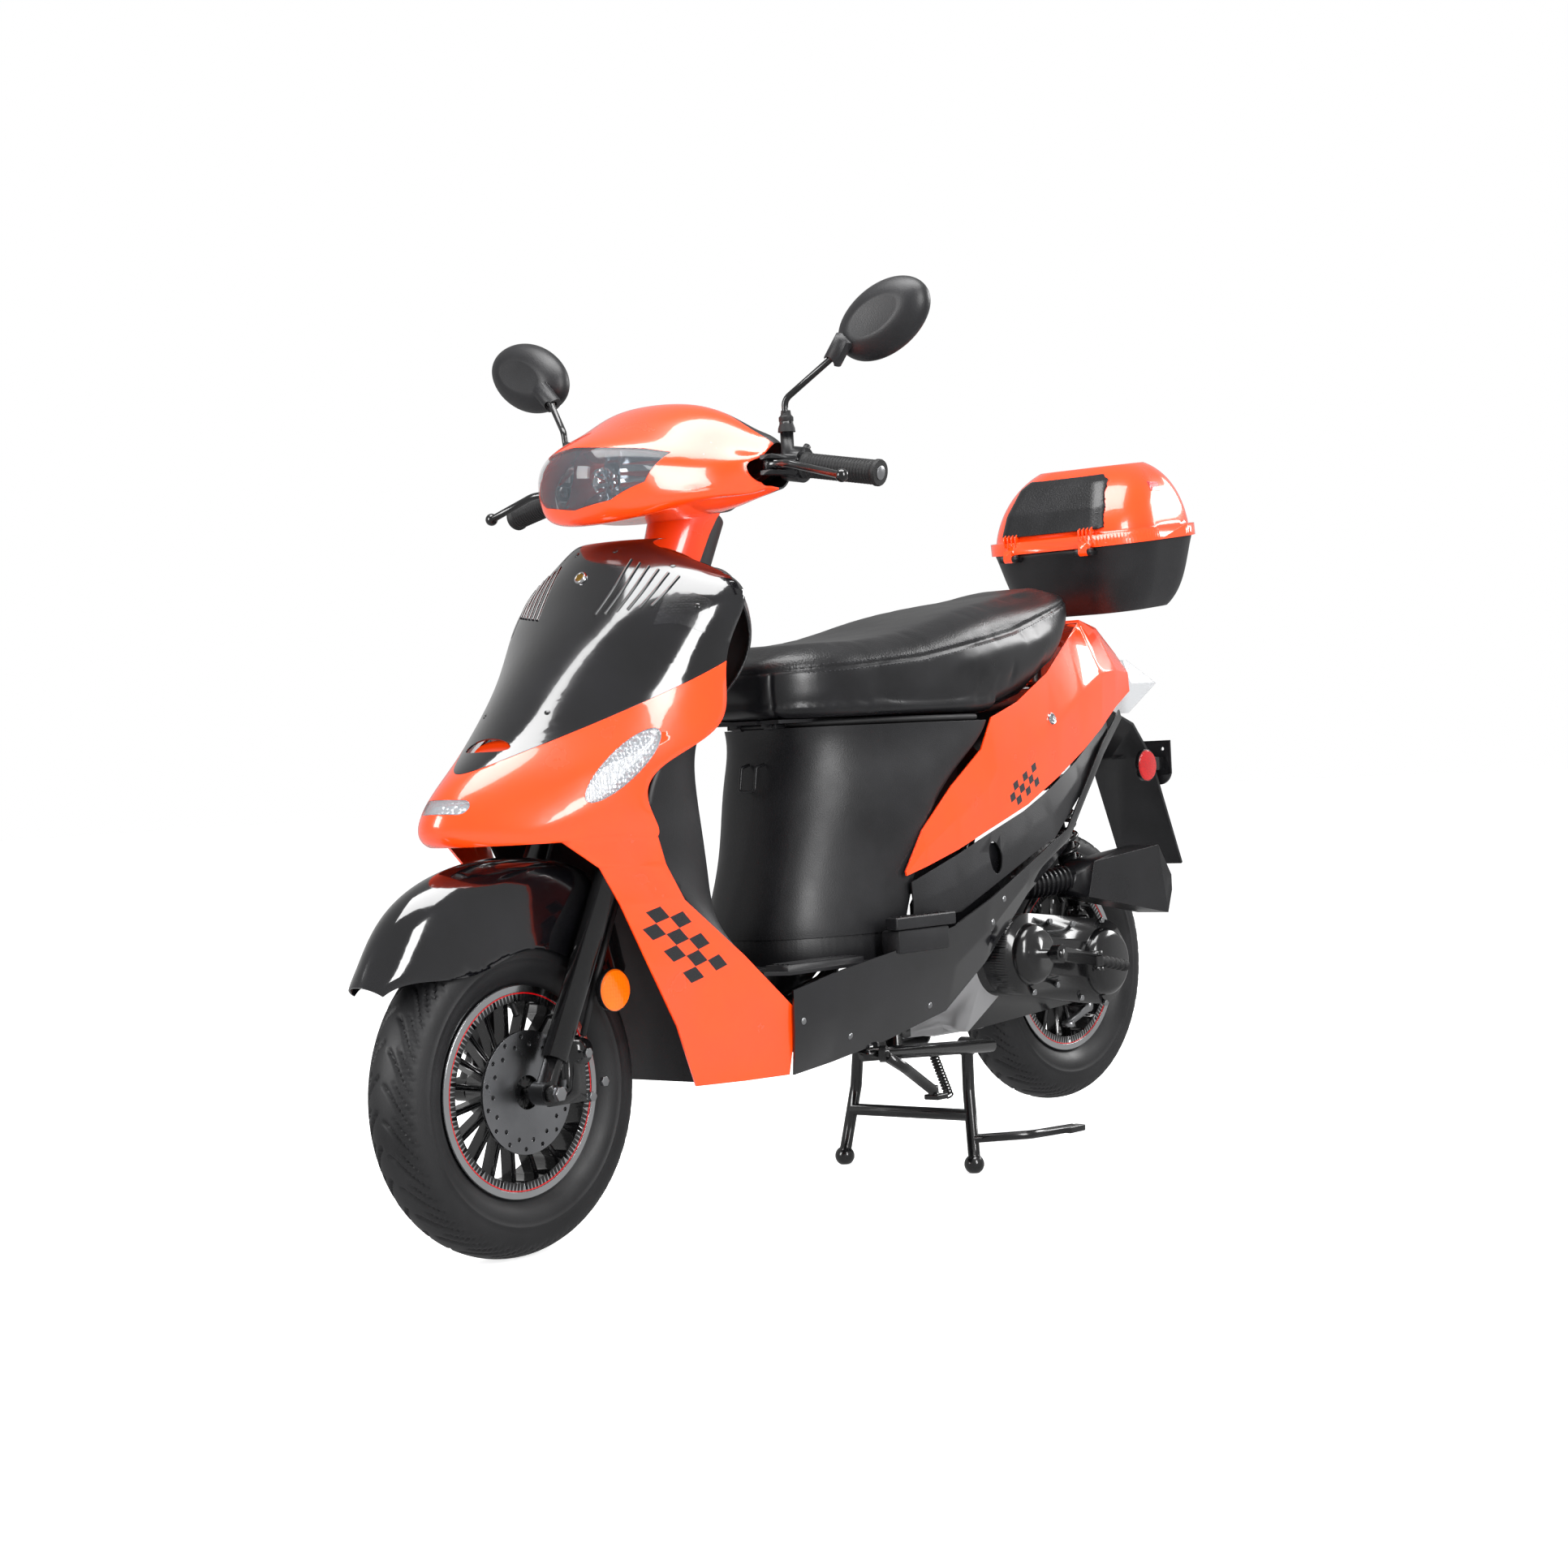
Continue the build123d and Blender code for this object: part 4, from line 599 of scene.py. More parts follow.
# ---- wheels -------------------------------------------------------------------------------------------
@dataclass
class Wheel:
    """A ten-inch tyre with its tread, on a painted cast rim."""

    kit: Kit
    end: str
    body: str
    axle: Vector
    radius: float = 0.216
    pitches: int = 30
    groove: float = 0.0029
    depth: float = 0.0036

    def outline(self) -> list[tuple[float, float]]:
        """Return the tyre's section as (radius, offset) pairs, bead to bead."""
        half = [(0.2160, 0.0), (0.21595, 0.003), (0.2157, 0.006), (0.2154, 0.009), (0.2149, 0.012),
                (0.2143, 0.015), (0.2135, 0.018), (0.2125, 0.021), (0.2113, 0.024), (0.2099, 0.027),
                (0.2083, 0.030), (0.2062, 0.033), (0.2036, 0.036), (0.2004, 0.0387), (0.1963, 0.0410),
                (0.1915, 0.0427), (0.1862, 0.0438), (0.1806, 0.0442), (0.1750, 0.0441), (0.1740, 0.0448),
                (0.1722, 0.0448), (0.1712, 0.0439), (0.1660, 0.0434), (0.1600, 0.0419), (0.1545, 0.0397),
                (0.1495, 0.0367), (0.1450, 0.0330), (0.1418, 0.0300), (0.1394, 0.0272), (0.1262, 0.0272)]
        return [(r, -x) for r, x in reversed(half[1:])] + half

    def tread_depth(self, angle: float, offset: float) -> float:
        """Say how deep the tread is cut at one place.

        Args:
            angle: Angle round the axle.
            offset: Distance from the tyre's middle.

        Returns:
            Depth in metres, 0 on a block.
        """
        side = 1.0 if offset >= 0 else -1.0
        reach = abs(offset)
        pitch = math.tau / self.pitches
        deepest = 0.0
        for phase, low, high, lean, width in ((0.0, 0.003, 0.0405, 0.30, self.groove),
                                              (0.5, 0.019, 0.0420, 0.30, self.groove * 0.75)):
            if not low <= reach <= high:
                continue
            bend = lean * (reach / 0.04) ** 1.7
            at = angle - bend - (phase + (0.25 if side > 0 else 0.0)) * pitch
            away = abs((at + pitch / 2) % pitch - pitch / 2) * self.radius
            fade = min(1.0, (reach - low) / 0.004, (high - reach) / 0.004)
            deepest = max(deepest, self.depth * fade * max(0.0, min(1.0, 1.5 - away / width)))
        return deepest

    def tyre(self) -> None:
        """Build the tyre: a spun section with the tread pressed into it."""
        mesh = bmesh.new()
        points = [mesh.verts.new((x, 0.0, r)) for r, x in self.outline()]
        edges = [mesh.edges.new(pair) for pair in zip(points, [*points[1:], points[0]])]
        bmesh.ops.spin(mesh, geom=[*points, *edges], cent=(0, 0, 0), axis=(1, 0, 0), angle=math.tau, steps=600,
                       use_merge=True)
        bmesh.ops.remove_doubles(mesh, verts=mesh.verts[:], dist=0.00002)
        bmesh.ops.recalc_face_normals(mesh, faces=mesh.faces[:])
        for vert in mesh.verts:
            reach = math.hypot(vert.co.y, vert.co.z)
            if reach > 0.19:
                depth = self.tread_depth(math.atan2(vert.co.z, vert.co.y), vert.co.x)
                if depth:
                    vert.co.y *= 1 - depth / reach
                    vert.co.z *= 1 - depth / reach
        bmesh.ops.translate(mesh, verts=mesh.verts[:], vec=self.axle)
        piece = finish_piece(mesh, f"{self.end}_tyre_tread", self.body, [TYRE_RUBBER], 50)
        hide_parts(f"{self.end}_tyre")

    def rim(self) -> None:
        """Dress the rim: black casting with a turned lip and a thin red line."""
        def choose(middle: Vector, _: int) -> int:
            reach = math.hypot(middle.y - self.axle.y, middle.z - self.axle.z)
            out = abs(middle.x) > 0.0305
            if out and 0.1285 < reach:
                return 1
            if out and 0.1262 < reach <= 0.1285:
                return 2
            return 0

        self.kit.dress(f"{self.end}_rim", [BLACK_ALUMINIUM, POLISHED_LIP, RED_LENS], choose)
        for side in (1, -1):
            line = [(0.1268, 0.0), (0.1268, 0.0006), (0.1285, 0.0006), (0.1285, 0.0)]
            lip = [(0.1290, 0.0), (0.1290, 0.0012), (0.1375, 0.0012), (0.1384, 0.0)]
            for name, profile, finish in (("line", line, RED_LENS), ("lip", lip, POLISHED_LIP)):
                ring = turned([*profile, profile[0]], self.axle + Vector((side * 0.031, 0, 0)),
                              Vector((side, 0, 0)), 128)
                finish_piece(ring, f"{self.end}_rim_{name}_{'left' if side > 0 else 'right'}", self.body,
                             [finish])

    def valve(self) -> None:
        """Stand a rubber valve with its cap on the rim's barrel."""
        foot = self.axle + Vector((0.020, 0.0, 0.117))
        stem = [(0.0, 0.0), (0.0045, 0.0), (0.0038, 0.012), (0.0042, 0.013), (0.0042, 0.021), (0.0, 0.022)]
        finish_piece(turned(stem, foot, unit(0.5, 0, -1), 16), f"{self.end}_valve", self.body, [RUBBER])

    def build(self) -> None:
        """Build the whole wheel."""
        self.tyre()
        self.rim()
        self.valve()


# ---- laying detail on the bodywork ---------------------------------------------------------------------
@dataclass
class Skin:
    """The outer surface of some CAD nodes, to lay details on."""

    kit: Kit
    nodes: tuple[str, ...]

    def __post_init__(self) -> None:
        """Build the search tree."""
        whole = joined([self.kit.merged(node) for node in self.nodes])
        self.tree = BVHTree.FromBMesh(whole)
        whole.free()

    def hit(self, start: Vector, direction: Vector) -> Optional[tuple[Vector, Vector]]:
        """Find where a ray meets the surface.

        Args:
            start: Start of the ray.
            direction: Its direction.

        Returns:
            The point and the outward normal, or None.
        """
        place, normal, _, _ = self.tree.ray_cast(start, direction)
        if place is None:
            return None
        return place, (-normal if normal.dot(direction) > 0 else normal)

    def from_front(self, x: float, z: float) -> Optional[tuple[Vector, Vector]]:
        """Look from the front at (x, z), in millimetres."""
        return self.hit(mm(x, -1200, z), Vector((0, 1, 0)))

    def from_side(self, y: float, z: float, side: int = 1) -> Optional[tuple[Vector, Vector]]:
        """Look from one side at (y, z), in millimetres."""
        return self.hit(mm(side * 500, y, z), Vector((-side, 0, 0)))

    def from_above(self, x: float, y: float) -> Optional[tuple[Vector, Vector]]:
        """Look down at (x, y), in millimetres."""
        return self.hit(mm(x, y, 1500), Vector((0, 0, -1)))


def line_on(hits: Iterable[Optional[tuple[Vector, Vector]]], lift: float) -> list[Vector]:
    """Return the points of hits lifted off the surface."""
    return [place + normal * lift for place, normal in filter(None, hits)]


# ---- front bodywork --------------------------------------------------------------------------------------
@dataclass
class FrontBodywork:
    """The leg shield's skin: moulded ribs, lock, screws and lamps."""

    kit: Kit
    rib_radius: float = 0.0021
    lamp_depth: float = 0.009

    def __post_init__(self) -> None:
        """Prepare the surfaces that details lie on."""
        self.panel = Skin(self.kit, ("centre_panel", "front_shield"))

    def ribs(self) -> None:
        """Mould six curved ribs in the recess on each side of the lock."""
        for side in (1, -1):
            wires = []
            for i in range(6):
                x0, z0 = 66 + 13.5 * i, 905 - 5.5 * i
                run = 74 - 7 * i
                points = [(x0 - 12 * t + 3 * math.sin(3 * t), z0 - run * t) for t in (0, 0.25, 0.5, 0.75, 1.0)]
                line = line_on([self.panel.from_front(side * x, z) for x, z in points], 0.0002)
                wires.append(tube(line, self.rib_radius, "rib"))
            name = "left" if side > 0 else "right"
            finish_piece(joined(wires), f"panel_ribs_{name}", "chassis", [GLOSS_BLACK])

    def film(self) -> None:
        """Lay the woven-look film on each shoulder of the panel."""
        for side in (1, -1):
            mesh = bmesh.new()
            bmesh.ops.create_grid(mesh, x_segments=24, y_segments=18, size=0.5)
            lost = []
            for vert in mesh.verts:
                u, v = vert.co.x + 0.5, vert.co.y + 0.5
                x = 132 + 46 * u
                z = 812 + 42 * v - 14 * u + 8 * math.sin(3 * u)
                found = self.panel.from_front(side * x, z)
                if found is None:
                    lost.append(vert)
                    continue
                vert.co = found[0] + found[1] * 0.0003
            bmesh.ops.delete(mesh, geom=lost, context="VERTS")
            bmesh.ops.recalc_face_normals(mesh, faces=mesh.faces[:])
            if sum(face.normal.y for face in mesh.faces) > 0:
                bmesh.ops.reverse_faces(mesh, faces=mesh.faces[:])
            bmesh.ops.solidify(mesh, geom=mesh.faces[:], thickness=0.0004)
            finish_piece(mesh, f"shoulder_film_{'left' if side > 0 else 'right'}", "chassis", [CARBON])

    def lock(self) -> None:
        """Set the round lock with its bezel high on the panel."""
        found = self.panel.from_front(0, 884)
        if found is None:
            return
        at, out = found
        bezel = [(0.0, 0.0015), (0.0062, 0.0015), (0.0066, 0.0034), (0.0086, 0.0036), (0.0096, 0.0020), (0.0098, -0.001),
                 (0.0, -0.001)]
        finish_piece(turned(bezel, at, out, 40), "panel_lock_bezel", "chassis", [CHROME])
        barrel = [(0.0, 0.0030), (0.0056, 0.0030), (0.0060, 0.0024), (0.0060, 0.0), (0.0, 0.0)]
        finish_piece(turned(barrel, at, out, 32), "panel_lock_barrel", "chassis", [BRASS])

    def screws(self) -> None:
        """Fit the small screws that hold the panel and the shield."""
        heads = []
        for x, z in ((36, 919), (118, 893), (58, 704), (168, 836)):
            for side in (1, -1):
                found = self.panel.from_front(side * x, z)
                if found is not None:
                    heads.append(screw(*found, radius=0.0042, height=0.0012))
        finish_piece(joined(heads), "panel_screws", "chassis", [BLACK_STEEL])

    def scoop(self) -> None:
        """Line the air scoop low in the panel with an orange floor behind a rolled lip."""
        upward = unit(0, 0.57, 0.82)
        mesh = bmesh.new()
        bmesh.ops.create_circle(mesh, cap_ends=True, segments=40, radius=1.0)
        bmesh.ops.solidify(mesh, geom=mesh.faces[:], thickness=0.1)
        for vert in mesh.verts:
            across, along, deep = vert.co.x * 0.033, vert.co.y * 0.018, vert.co.z * 0.03
            vert.co = mm(0, -641, 654) + Vector((across, 0, 0)) + upward * along + unit(0, 0.82, -0.57) * deep
        bmesh.ops.recalc_face_normals(mesh, faces=mesh.faces[:])
        finish_piece(mesh, "scoop_floor", "chassis", [ORANGE])

    def lamps(self) -> None:
        """Put a faceted reflector behind each clear front lamp."""
        self.kit.dress("front_lamps", [LENS])
        mesh = self.kit.merged("front_lamps")
        numbers = islands(mesh)
        groups: dict[int, list[bmesh.types.BMFace]] = {}
        for face in mesh.faces:
            groups.setdefault(numbers[face.index], []).append(face)
        for faces in groups.values():
            verts = list({v for face in faces for v in face.verts})
            middle = sum((v.co for v in verts), Vector()) / len(verts)
            inward_way = Vector((0, 0.55, 0)) if abs(middle.x) < 0.03 else unit(-math.copysign(0.91, middle.x), 0.4, -0.1)
            bmesh.ops.scale(mesh, verts=verts, vec=(0.97, 0.97, 0.97), space=Matrix.Translation(-middle))
            bmesh.ops.translate(mesh, verts=verts, vec=inward_way.normalized() * self.lamp_depth)
        finish_piece(mesh, "front_lamp_reflectors", "chassis", [REFLECTOR])

    def build(self) -> None:
        """Build the front bodywork."""
        self.kit.dress("front_shield", [ORANGE_SHIELD])
        self.kit.dress("centre_panel", [GLOSS_BLACK])
        self.ribs()
        self.film()
        self.lock()
        self.screws()
        self.scoop()
        self.lamps()


@dataclass
class Headlight:
    """The clear lens, the bowl behind it with its flutes, and the bulb's shade."""

    kit: Kit
    half_width: float = 0.104
    half_height: float = 0.040
    middle: Point = (0.005, -0.4, 1.018)

    def bowl(self) -> None:
        """Press the reflector: a deep dish that follows the lens at its rim."""
        mesh = bmesh.new()
        bmesh.ops.create_circle(mesh, cap_ends=True, cap_tris=True, segments=72, radius=1.0)
        bmesh.ops.subdivide_edges(mesh, edges=mesh.edges[:], cuts=11, use_grid_fill=True)
        bmesh.ops.triangulate(mesh, faces=mesh.faces[:])
        for vert in mesh.verts:
            u, v = vert.co.x, vert.co.y
            reach = min(1.0, math.hypot(u, v))
            x = self.middle[0] + u * self.half_width
            z = self.middle[2] + v * self.half_height
            lens = -0.462 + 0.094 * (x / 0.105) ** 2 + 0.03 * max(0.0, v)
            vert.co = Vector((x, lens + 0.008 + 0.052 * (1 - reach ** 2.2), z))
        bmesh.ops.recalc_face_normals(mesh, faces=mesh.faces[:])
        if sum(face.normal.y for face in mesh.faces) > 0:
            bmesh.ops.reverse_faces(mesh, faces=mesh.faces[:])
        bmesh.ops.solidify(mesh, geom=mesh.faces[:], thickness=0.001)
        finish_piece(mesh, "headlight_bowl", "steering", [BOWL], 60)

    def bulb(self) -> None:
        """Stand the bulb's shade and the ring round it in the bowl."""
        at, out = mm(0, -402, 1016), Vector((0, -1, 0))
        shade = [(0.0, 0.022), (0.006, 0.021), (0.0085, 0.017), (0.0085, 0.0), (0.0, 0.0)]
        finish_piece(turned(shade, at, out, 32), "headlight_bulb_shade", "steering", [CHROME])
        ring = [(0.016, 0.0), (0.0165, 0.005), (0.0195, 0.006), (0.0215, 0.0), (0.016, 0.0)]
        finish_piece(turned(ring, at, out, 48), "headlight_ring", "steering", [REFLECTOR])

    def build(self) -> None:
        """Build the headlight."""
        self.kit.dress("headlight", [CLEAR], drop=lambda middle, _: middle.y > -0.400 and abs(middle.x) < 0.0795
                       and 0.985 < middle.z < 1.045)
        self.bowl()
        self.bulb()


# ---- seat ---------------------------------------------------------------------------------------------------
@dataclass
class Seat:
    """The foam seat under its vinyl cover, with sewn seams."""

    kit: Kit
    voxel: float = 0.006
    cap: float = 0.006
    shrink: float = 0.0025
    groove: float = 0.0022
    reach: float = 0.0045

    def seam_height(self, y: float) -> float:
        """Return the height of the side seam at a place along the seat, in metres."""
        line = [(-0.20, 0.748), (-0.15, 0.752), (-0.05, 0.757), (0.10, 0.768), (0.25, 0.790), (0.35, 0.806),
                (0.45, 0.830), (0.60, 0.868)]
        for (y0, z0), (y1, z1) in zip(line, line[1:]):
            if y <= y1:
                return z0 + (z1 - z0) * max(0.0, (y - y0) / (y1 - y0))
        return line[-1][1]

    def inflated(self) -> bpy.types.Object:
        """Remesh the cushion and let air pressure fill its cover.

        Returns:
            The cushion before its seams.
        """
        mesh = self.kit.merged("seat_cushion")
        data = bpy.data.meshes.new("seat_foam")
        mesh.to_mesh(data)
        mesh.free()
        cushion = bpy.data.objects.new("seat_foam", data)
        bpy.context.scene.collection.objects.link(cushion)
        remesh = cushion.modifiers.new("remesh", "REMESH")
        remesh.mode = "VOXEL"
        remesh.voxel_size = self.voxel
        self.apply(cushion)
        rest = [v.co.copy() for v in cushion.data.vertices]
        inner = [v.co - v.normal * self.shrink for v in cushion.data.vertices]
        for vert, place in zip(cushion.data.vertices, inner):
            vert.co = place
        cloth = cushion.modifiers.new("cloth", "CLOTH")
        cloth.settings.use_pressure = True
        cloth.settings.uniform_pressure_force = 4.0
        cloth.settings.quality = 4
        cloth.settings.tension_stiffness = 20
        cloth.settings.effector_weights.gravity = 0.0
        cloth.point_cache.frame_start, cloth.point_cache.frame_end = 1, 20
        scene = bpy.context.scene
        for step in range(1, 21):
            scene.frame_set(step)
        graph = bpy.context.evaluated_depsgraph_get()
        blown = [v.co.copy() for v in cushion.evaluated_get(graph).data.vertices]
        cushion.modifiers.remove(cloth)
        scene.frame_set(1)
        for vert, start, end, outer in zip(cushion.data.vertices, inner, blown, rest):
            move = end - start
            if move.length > self.cap:
                move = move.normalized() * self.cap
            place = start + move
            vert.co = place if outer.z > 0.70 or outer.y > 0.30 else start + (outer - start) * 0.6
        return cushion

    def apply(self, piece: bpy.types.Object) -> None:
        """Apply every modifier of a piece to its mesh."""
        graph = bpy.context.evaluated_depsgraph_get()
        made = bpy.data.meshes.new_from_object(piece.evaluated_get(graph))
        old = piece.data
        piece.modifiers.clear()
        piece.data = made
        bpy.data.meshes.remove(old)

    def cushion(self) -> bpy.types.Object:
        """Build the cushion with its seams pressed in.

        Returns:
            The padded piece.
        """
        soft = self.inflated()
        mesh = bmesh.new()
        mesh.from_mesh(soft.data)
        bpy.data.objects.remove(soft)
        for _ in range(3):
            bmesh.ops.smooth_vert(mesh, verts=mesh.verts[:], factor=0.5, use_axis_x=True, use_axis_y=True,
                                  use_axis_z=True)
        near = [e for e in mesh.edges if abs(e.verts[0].co.z - self.seam_height(e.verts[0].co.y)) < 0.012
                or (abs(abs(e.verts[0].co.x) - 0.074) < 0.012 and e.verts[0].co.y < -0.12)]
        bmesh.ops.subdivide_edges(mesh, edges=near, cuts=1, use_grid_fill=True)
        mesh.normal_update()
        for vert in mesh.verts:
            side = abs(vert.normal.z) < 0.75 or vert.co.y < -0.13
            away = abs(vert.co.z - self.seam_height(vert.co.y))
            front = abs(abs(vert.co.x) - 0.074) if vert.co.y < -0.12 and vert.co.z < self.seam_height(vert.co.y) else 1.0
            dent = 0.0
            if side:
                dent = max(0.0, 1 - away / self.reach)
            dent = max(dent, 0.8 * max(0.0, 1 - front / self.reach))
            vert.co -= vert.normal * (self.groove * dent * dent * (3 - 2 * dent))
        for face in mesh.faces:
            middle = face.calc_center_median()
            face.material_index = 0 if middle.z > self.seam_height(middle.y) else 1
        piece = finish_piece(mesh, "seat_cover", "seat", [VINYL, SMOOTH_VINYL], 70)
        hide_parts("seat_cushion")
        return piece

    def stitches(self, cover: bpy.types.Object) -> None:
        """Sew a row of thread on each side of the seam.

        Args:
            cover: The cushion that the thread lies on.
        """
        body = bmesh.new()
        body.from_mesh(cover.data)
        tree = BVHTree.FromBMesh(body)
        body.free()
        threads = []
        for side in (1, -1):
            for shift in (0.0055, -0.0055):
                places = []
                y = -0.125
                while y < 0.50:
                    z = self.seam_height(y) + shift
                    place, normal, _, _ = tree.ray_cast(Vector((side * 0.3, y, z)), Vector((-side, 0, 0)))
                    if place is not None:
                        places.append(place + normal * 0.0003)
                    y += 0.0026
                for start, end in zip(places[::3], places[1::3]):
                    mesh = bmesh.new()
                    bmesh.ops.create_cone(mesh, cap_ends=True, segments=6, radius1=0.0006, radius2=0.0006,
                                          depth=(end - start).length)
                    bmesh.ops.transform(mesh, verts=mesh.verts[:],
                                        matrix=Matrix.Translation((start + end) / 2) @ frame_of(end - start))
                    threads.append(mesh)
        finish_piece(joined(threads), "seat_stitches", "seat", [THREAD])

    def build(self) -> None:
        """Build the seat's cover and thread."""
        self.stitches(self.cushion())


# ---- top case -------------------------------------------------------------------------------------------------
@dataclass
class TopCase:
    """The case's orange lid with its backrest pad, hinge ribs and reflector."""

    kit: Kit
    rib: float = 0.0024

    def lid(self) -> None:
        """Dress the lid and leave its pad for a soft one."""
        mesh = self.kit.merged("case_lid")
        numbers = islands(mesh)
        lows: dict[int, float] = {}
        for face in mesh.faces:
            number = numbers[face.index]
            lows[number] = max(lows.get(number, -9.0), face.calc_center_median().y)
        mesh.free()
        pad_number = min(lows, key=lambda n: lows[n])
        self.kit.dress("case_lid", [ORANGE], drop=lambda _, number: number == pad_number)
        self.pad(pad_number)

    def pad(self, number: int) -> None:
        """Build the backrest pad: foam under a textured cover, glued to the dome.

        Args:
            number: The pad's number among the lid's loose pieces.
        """
        mesh = self.kit.merged("case_lid")
        numbers = islands(mesh)
        bmesh.ops.delete(mesh, geom=[f for f in mesh.faces if numbers[f.index] != number], context="FACES")
        data = bpy.data.meshes.new("pad")
        mesh.to_mesh(data)
        mesh.free()
        soft = bpy.data.objects.new("pad", data)
        bpy.context.scene.collection.objects.link(soft)
        remesh = soft.modifiers.new("remesh", "REMESH")
        remesh.mode = "VOXEL"
        remesh.voxel_size = 0.0024
        made = bpy.data.meshes.new_from_object(soft.evaluated_get(bpy.context.evaluated_depsgraph_get()))
        bpy.data.objects.remove(soft)
        round_pad = bmesh.new()
        round_pad.from_mesh(made)
        bpy.data.meshes.remove(made)
        for _ in range(6):
            bmesh.ops.smooth_vert(round_pad, verts=round_pad.verts[:], factor=0.5, use_axis_x=True,
                                  use_axis_y=True, use_axis_z=True)
        piece = finish_piece(round_pad, "backrest_pad", "lid", [VINYL], 60)

    def ribs(self) -> None:
        """Mould four ribs over each front hinge, on the lid's rim."""
        blades = []
        for x in (-74, 74):
            for i in range(4):
                outline = [(0.0, 0.0), (0.010, 0.0), (0.010, 0.016), (0.002, 0.020), (0.0, 0.019)]
                turn = Matrix.Rotation(math.radians(90), 4, "Z") @ Matrix.Rotation(math.radians(90), 4, "X")
                at = Matrix.Translation(mm(x - 13 + 7.5 * i, 640, 957)) @ Matrix.Rotation(math.radians(5.8), 4, "X")
                mesh = prism([(-a, b) for a, b in outline][::-1], self.rib, 0.0005, at @ turn)
                blades.append(mesh)
        finish_piece(joined(blades), "hinge_ribs", "lid", [ORANGE])

    def reflector(self) -> None:
        """Set a small red reflector on each rear corner of the lid."""
        skin = Skin(self.kit, ("case_lid",))
        for side in (1, -1):
            mesh = bmesh.new()
            bmesh.ops.create_grid(mesh, x_segments=10, y_segments=6, size=0.5)
            lost = []
            for vert in mesh.verts:
                u, v = vert.co.x, vert.co.y
                found = skin.hit(mm(side * 400, 845 + 26 * u + 6 * v, 1042 + 15 * v), Vector((-side, -0.35, 0)))
                if found is None:
                    lost.append(vert)
                else:
                    vert.co = found[0] + found[1] * 0.0006
            bmesh.ops.delete(mesh, geom=lost, context="VERTS")
            bmesh.ops.recalc_face_normals(mesh, faces=mesh.faces[:])
            if sum(face.normal.x for face in mesh.faces) * side < 0:
                bmesh.ops.reverse_faces(mesh, faces=mesh.faces[:])
            bmesh.ops.solidify(mesh, geom=mesh.faces[:], thickness=0.0008)
            finish_piece(mesh, f"lid_reflector_{'left' if side > 0 else 'right'}", "lid", [RED_LENS])

    def build(self) -> None:
        """Build the top case."""
        self.lid()
        self.ribs()
        self.reflector()


# ---- handlebar -------------------------------------------------------------------------------------------------
@dataclass
class Controls:
    """Grips with moulded ribs and flanges, and the mirrors' glass."""

    kit: Kit
    end: Point = (0.341, -0.237, 1.002)
    bend: Point = (0.188, -0.252, 1.030)

    def grips(self) -> None:
        """Mould the two grips: rings at both ends and long ribs between."""
        for side, node in ((1, "left_grip"), (-1, "throttle_grip")):
            end, bend = (Vector((side * p[0], p[1], p[2])) for p in (self.end, self.bend))
            way = (end - bend).normalized()
            profile = [(0.0112, 0.0), (0.0180, 0.0), (0.0182, 0.003), (0.0166, 0.0045)]
            for i in range(21):
                h = 0.008 + 0.005 * i
                profile += [(0.0158, h), (0.0170, h + 0.0012), (0.0170, h + 0.0030), (0.0158, h + 0.0042)]
            profile += [(0.0166, 0.1145), (0.0182, 0.1165), (0.0182, 0.1205), (0.0172, 0.1225), (0.0, 0.1225)]
            mesh = turned([(r, h) for r, h in profile], bend + way * 0.0365, way, 44)
            for vert in mesh.verts:
                along = (vert.co - bend).dot(way)
                foot = bend + way * along
                out = vert.co - foot
                if 0.05 < along < 0.148 and out.length > 0.0156:
                    turn = math.atan2(out.z, out.y)
                    vert.co = foot + out * (1 - 0.035 * (0.5 + 0.5 * math.cos(16 * turn)))
            piece = finish_piece(mesh, f"grip_{'left' if side > 0 else 'right'}", self.kit.body(node), [RUBBER], 40)
            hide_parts(node)
            cap = [(0.0, 0.0024), (0.0075, 0.0024), (0.0095, 0.0012), (0.0098, -0.001), (0.0, -0.001)]
            finish_piece(turned(cap, bend + way * 0.1585, way, 32), f"bar_end_{'left' if side > 0 else 'right'}",
                         self.kit.body(node), [ZINC])

    def mirrors(self) -> None:
        """Dress each mirror: grained housing and silvered glass."""
        for side in ("left", "right"):
            mesh = self.kit.merged(f"mirror_head_{side}")
            numbers = islands(mesh)
            sizes: dict[int, int] = {}
            lows: dict[int, float] = {}
            for face in mesh.faces:
                number = numbers[face.index]
                sizes[number] = sizes.get(number, 0) + 1
                lows[number] = min(lows.get(number, 9.0), face.calc_center_median().y)
            mesh.free()
            glass = max(lows, key=lambda n: lows[n])
            self.kit.dress(f"mirror_head_{side}", [GRAINED_BLACK, MIRROR_GLASS],
                           lambda _, number, g=glass: 1 if number == g else 0)

    def boots(self) -> None:
        """Fit a rubber boot at the foot of each mirror stem."""
        for side in (1, -1):
            foot = mm(side * 206, -262, 1068)
            boot = [(0.0, 0.030), (0.0065, 0.030), (0.0072, 0.024), (0.0100, 0.021), (0.0100, 0.016), (0.0088, 0.014),
                    (0.0115, 0.006), (0.0120, 0.001), (0.0, 0.001)]
            stem = "stem_left" if side > 0 else "stem_right"
            finish_piece(turned(boot, foot, Vector((0, 0, 1)), 32), f"mirror_boot_{'left' if side > 0 else 'right'}",
                         stem, [RUBBER])

    def build(self) -> None:
        """Build the handlebar's details."""
        self.grips()
        self.mirrors()
        self.boots()


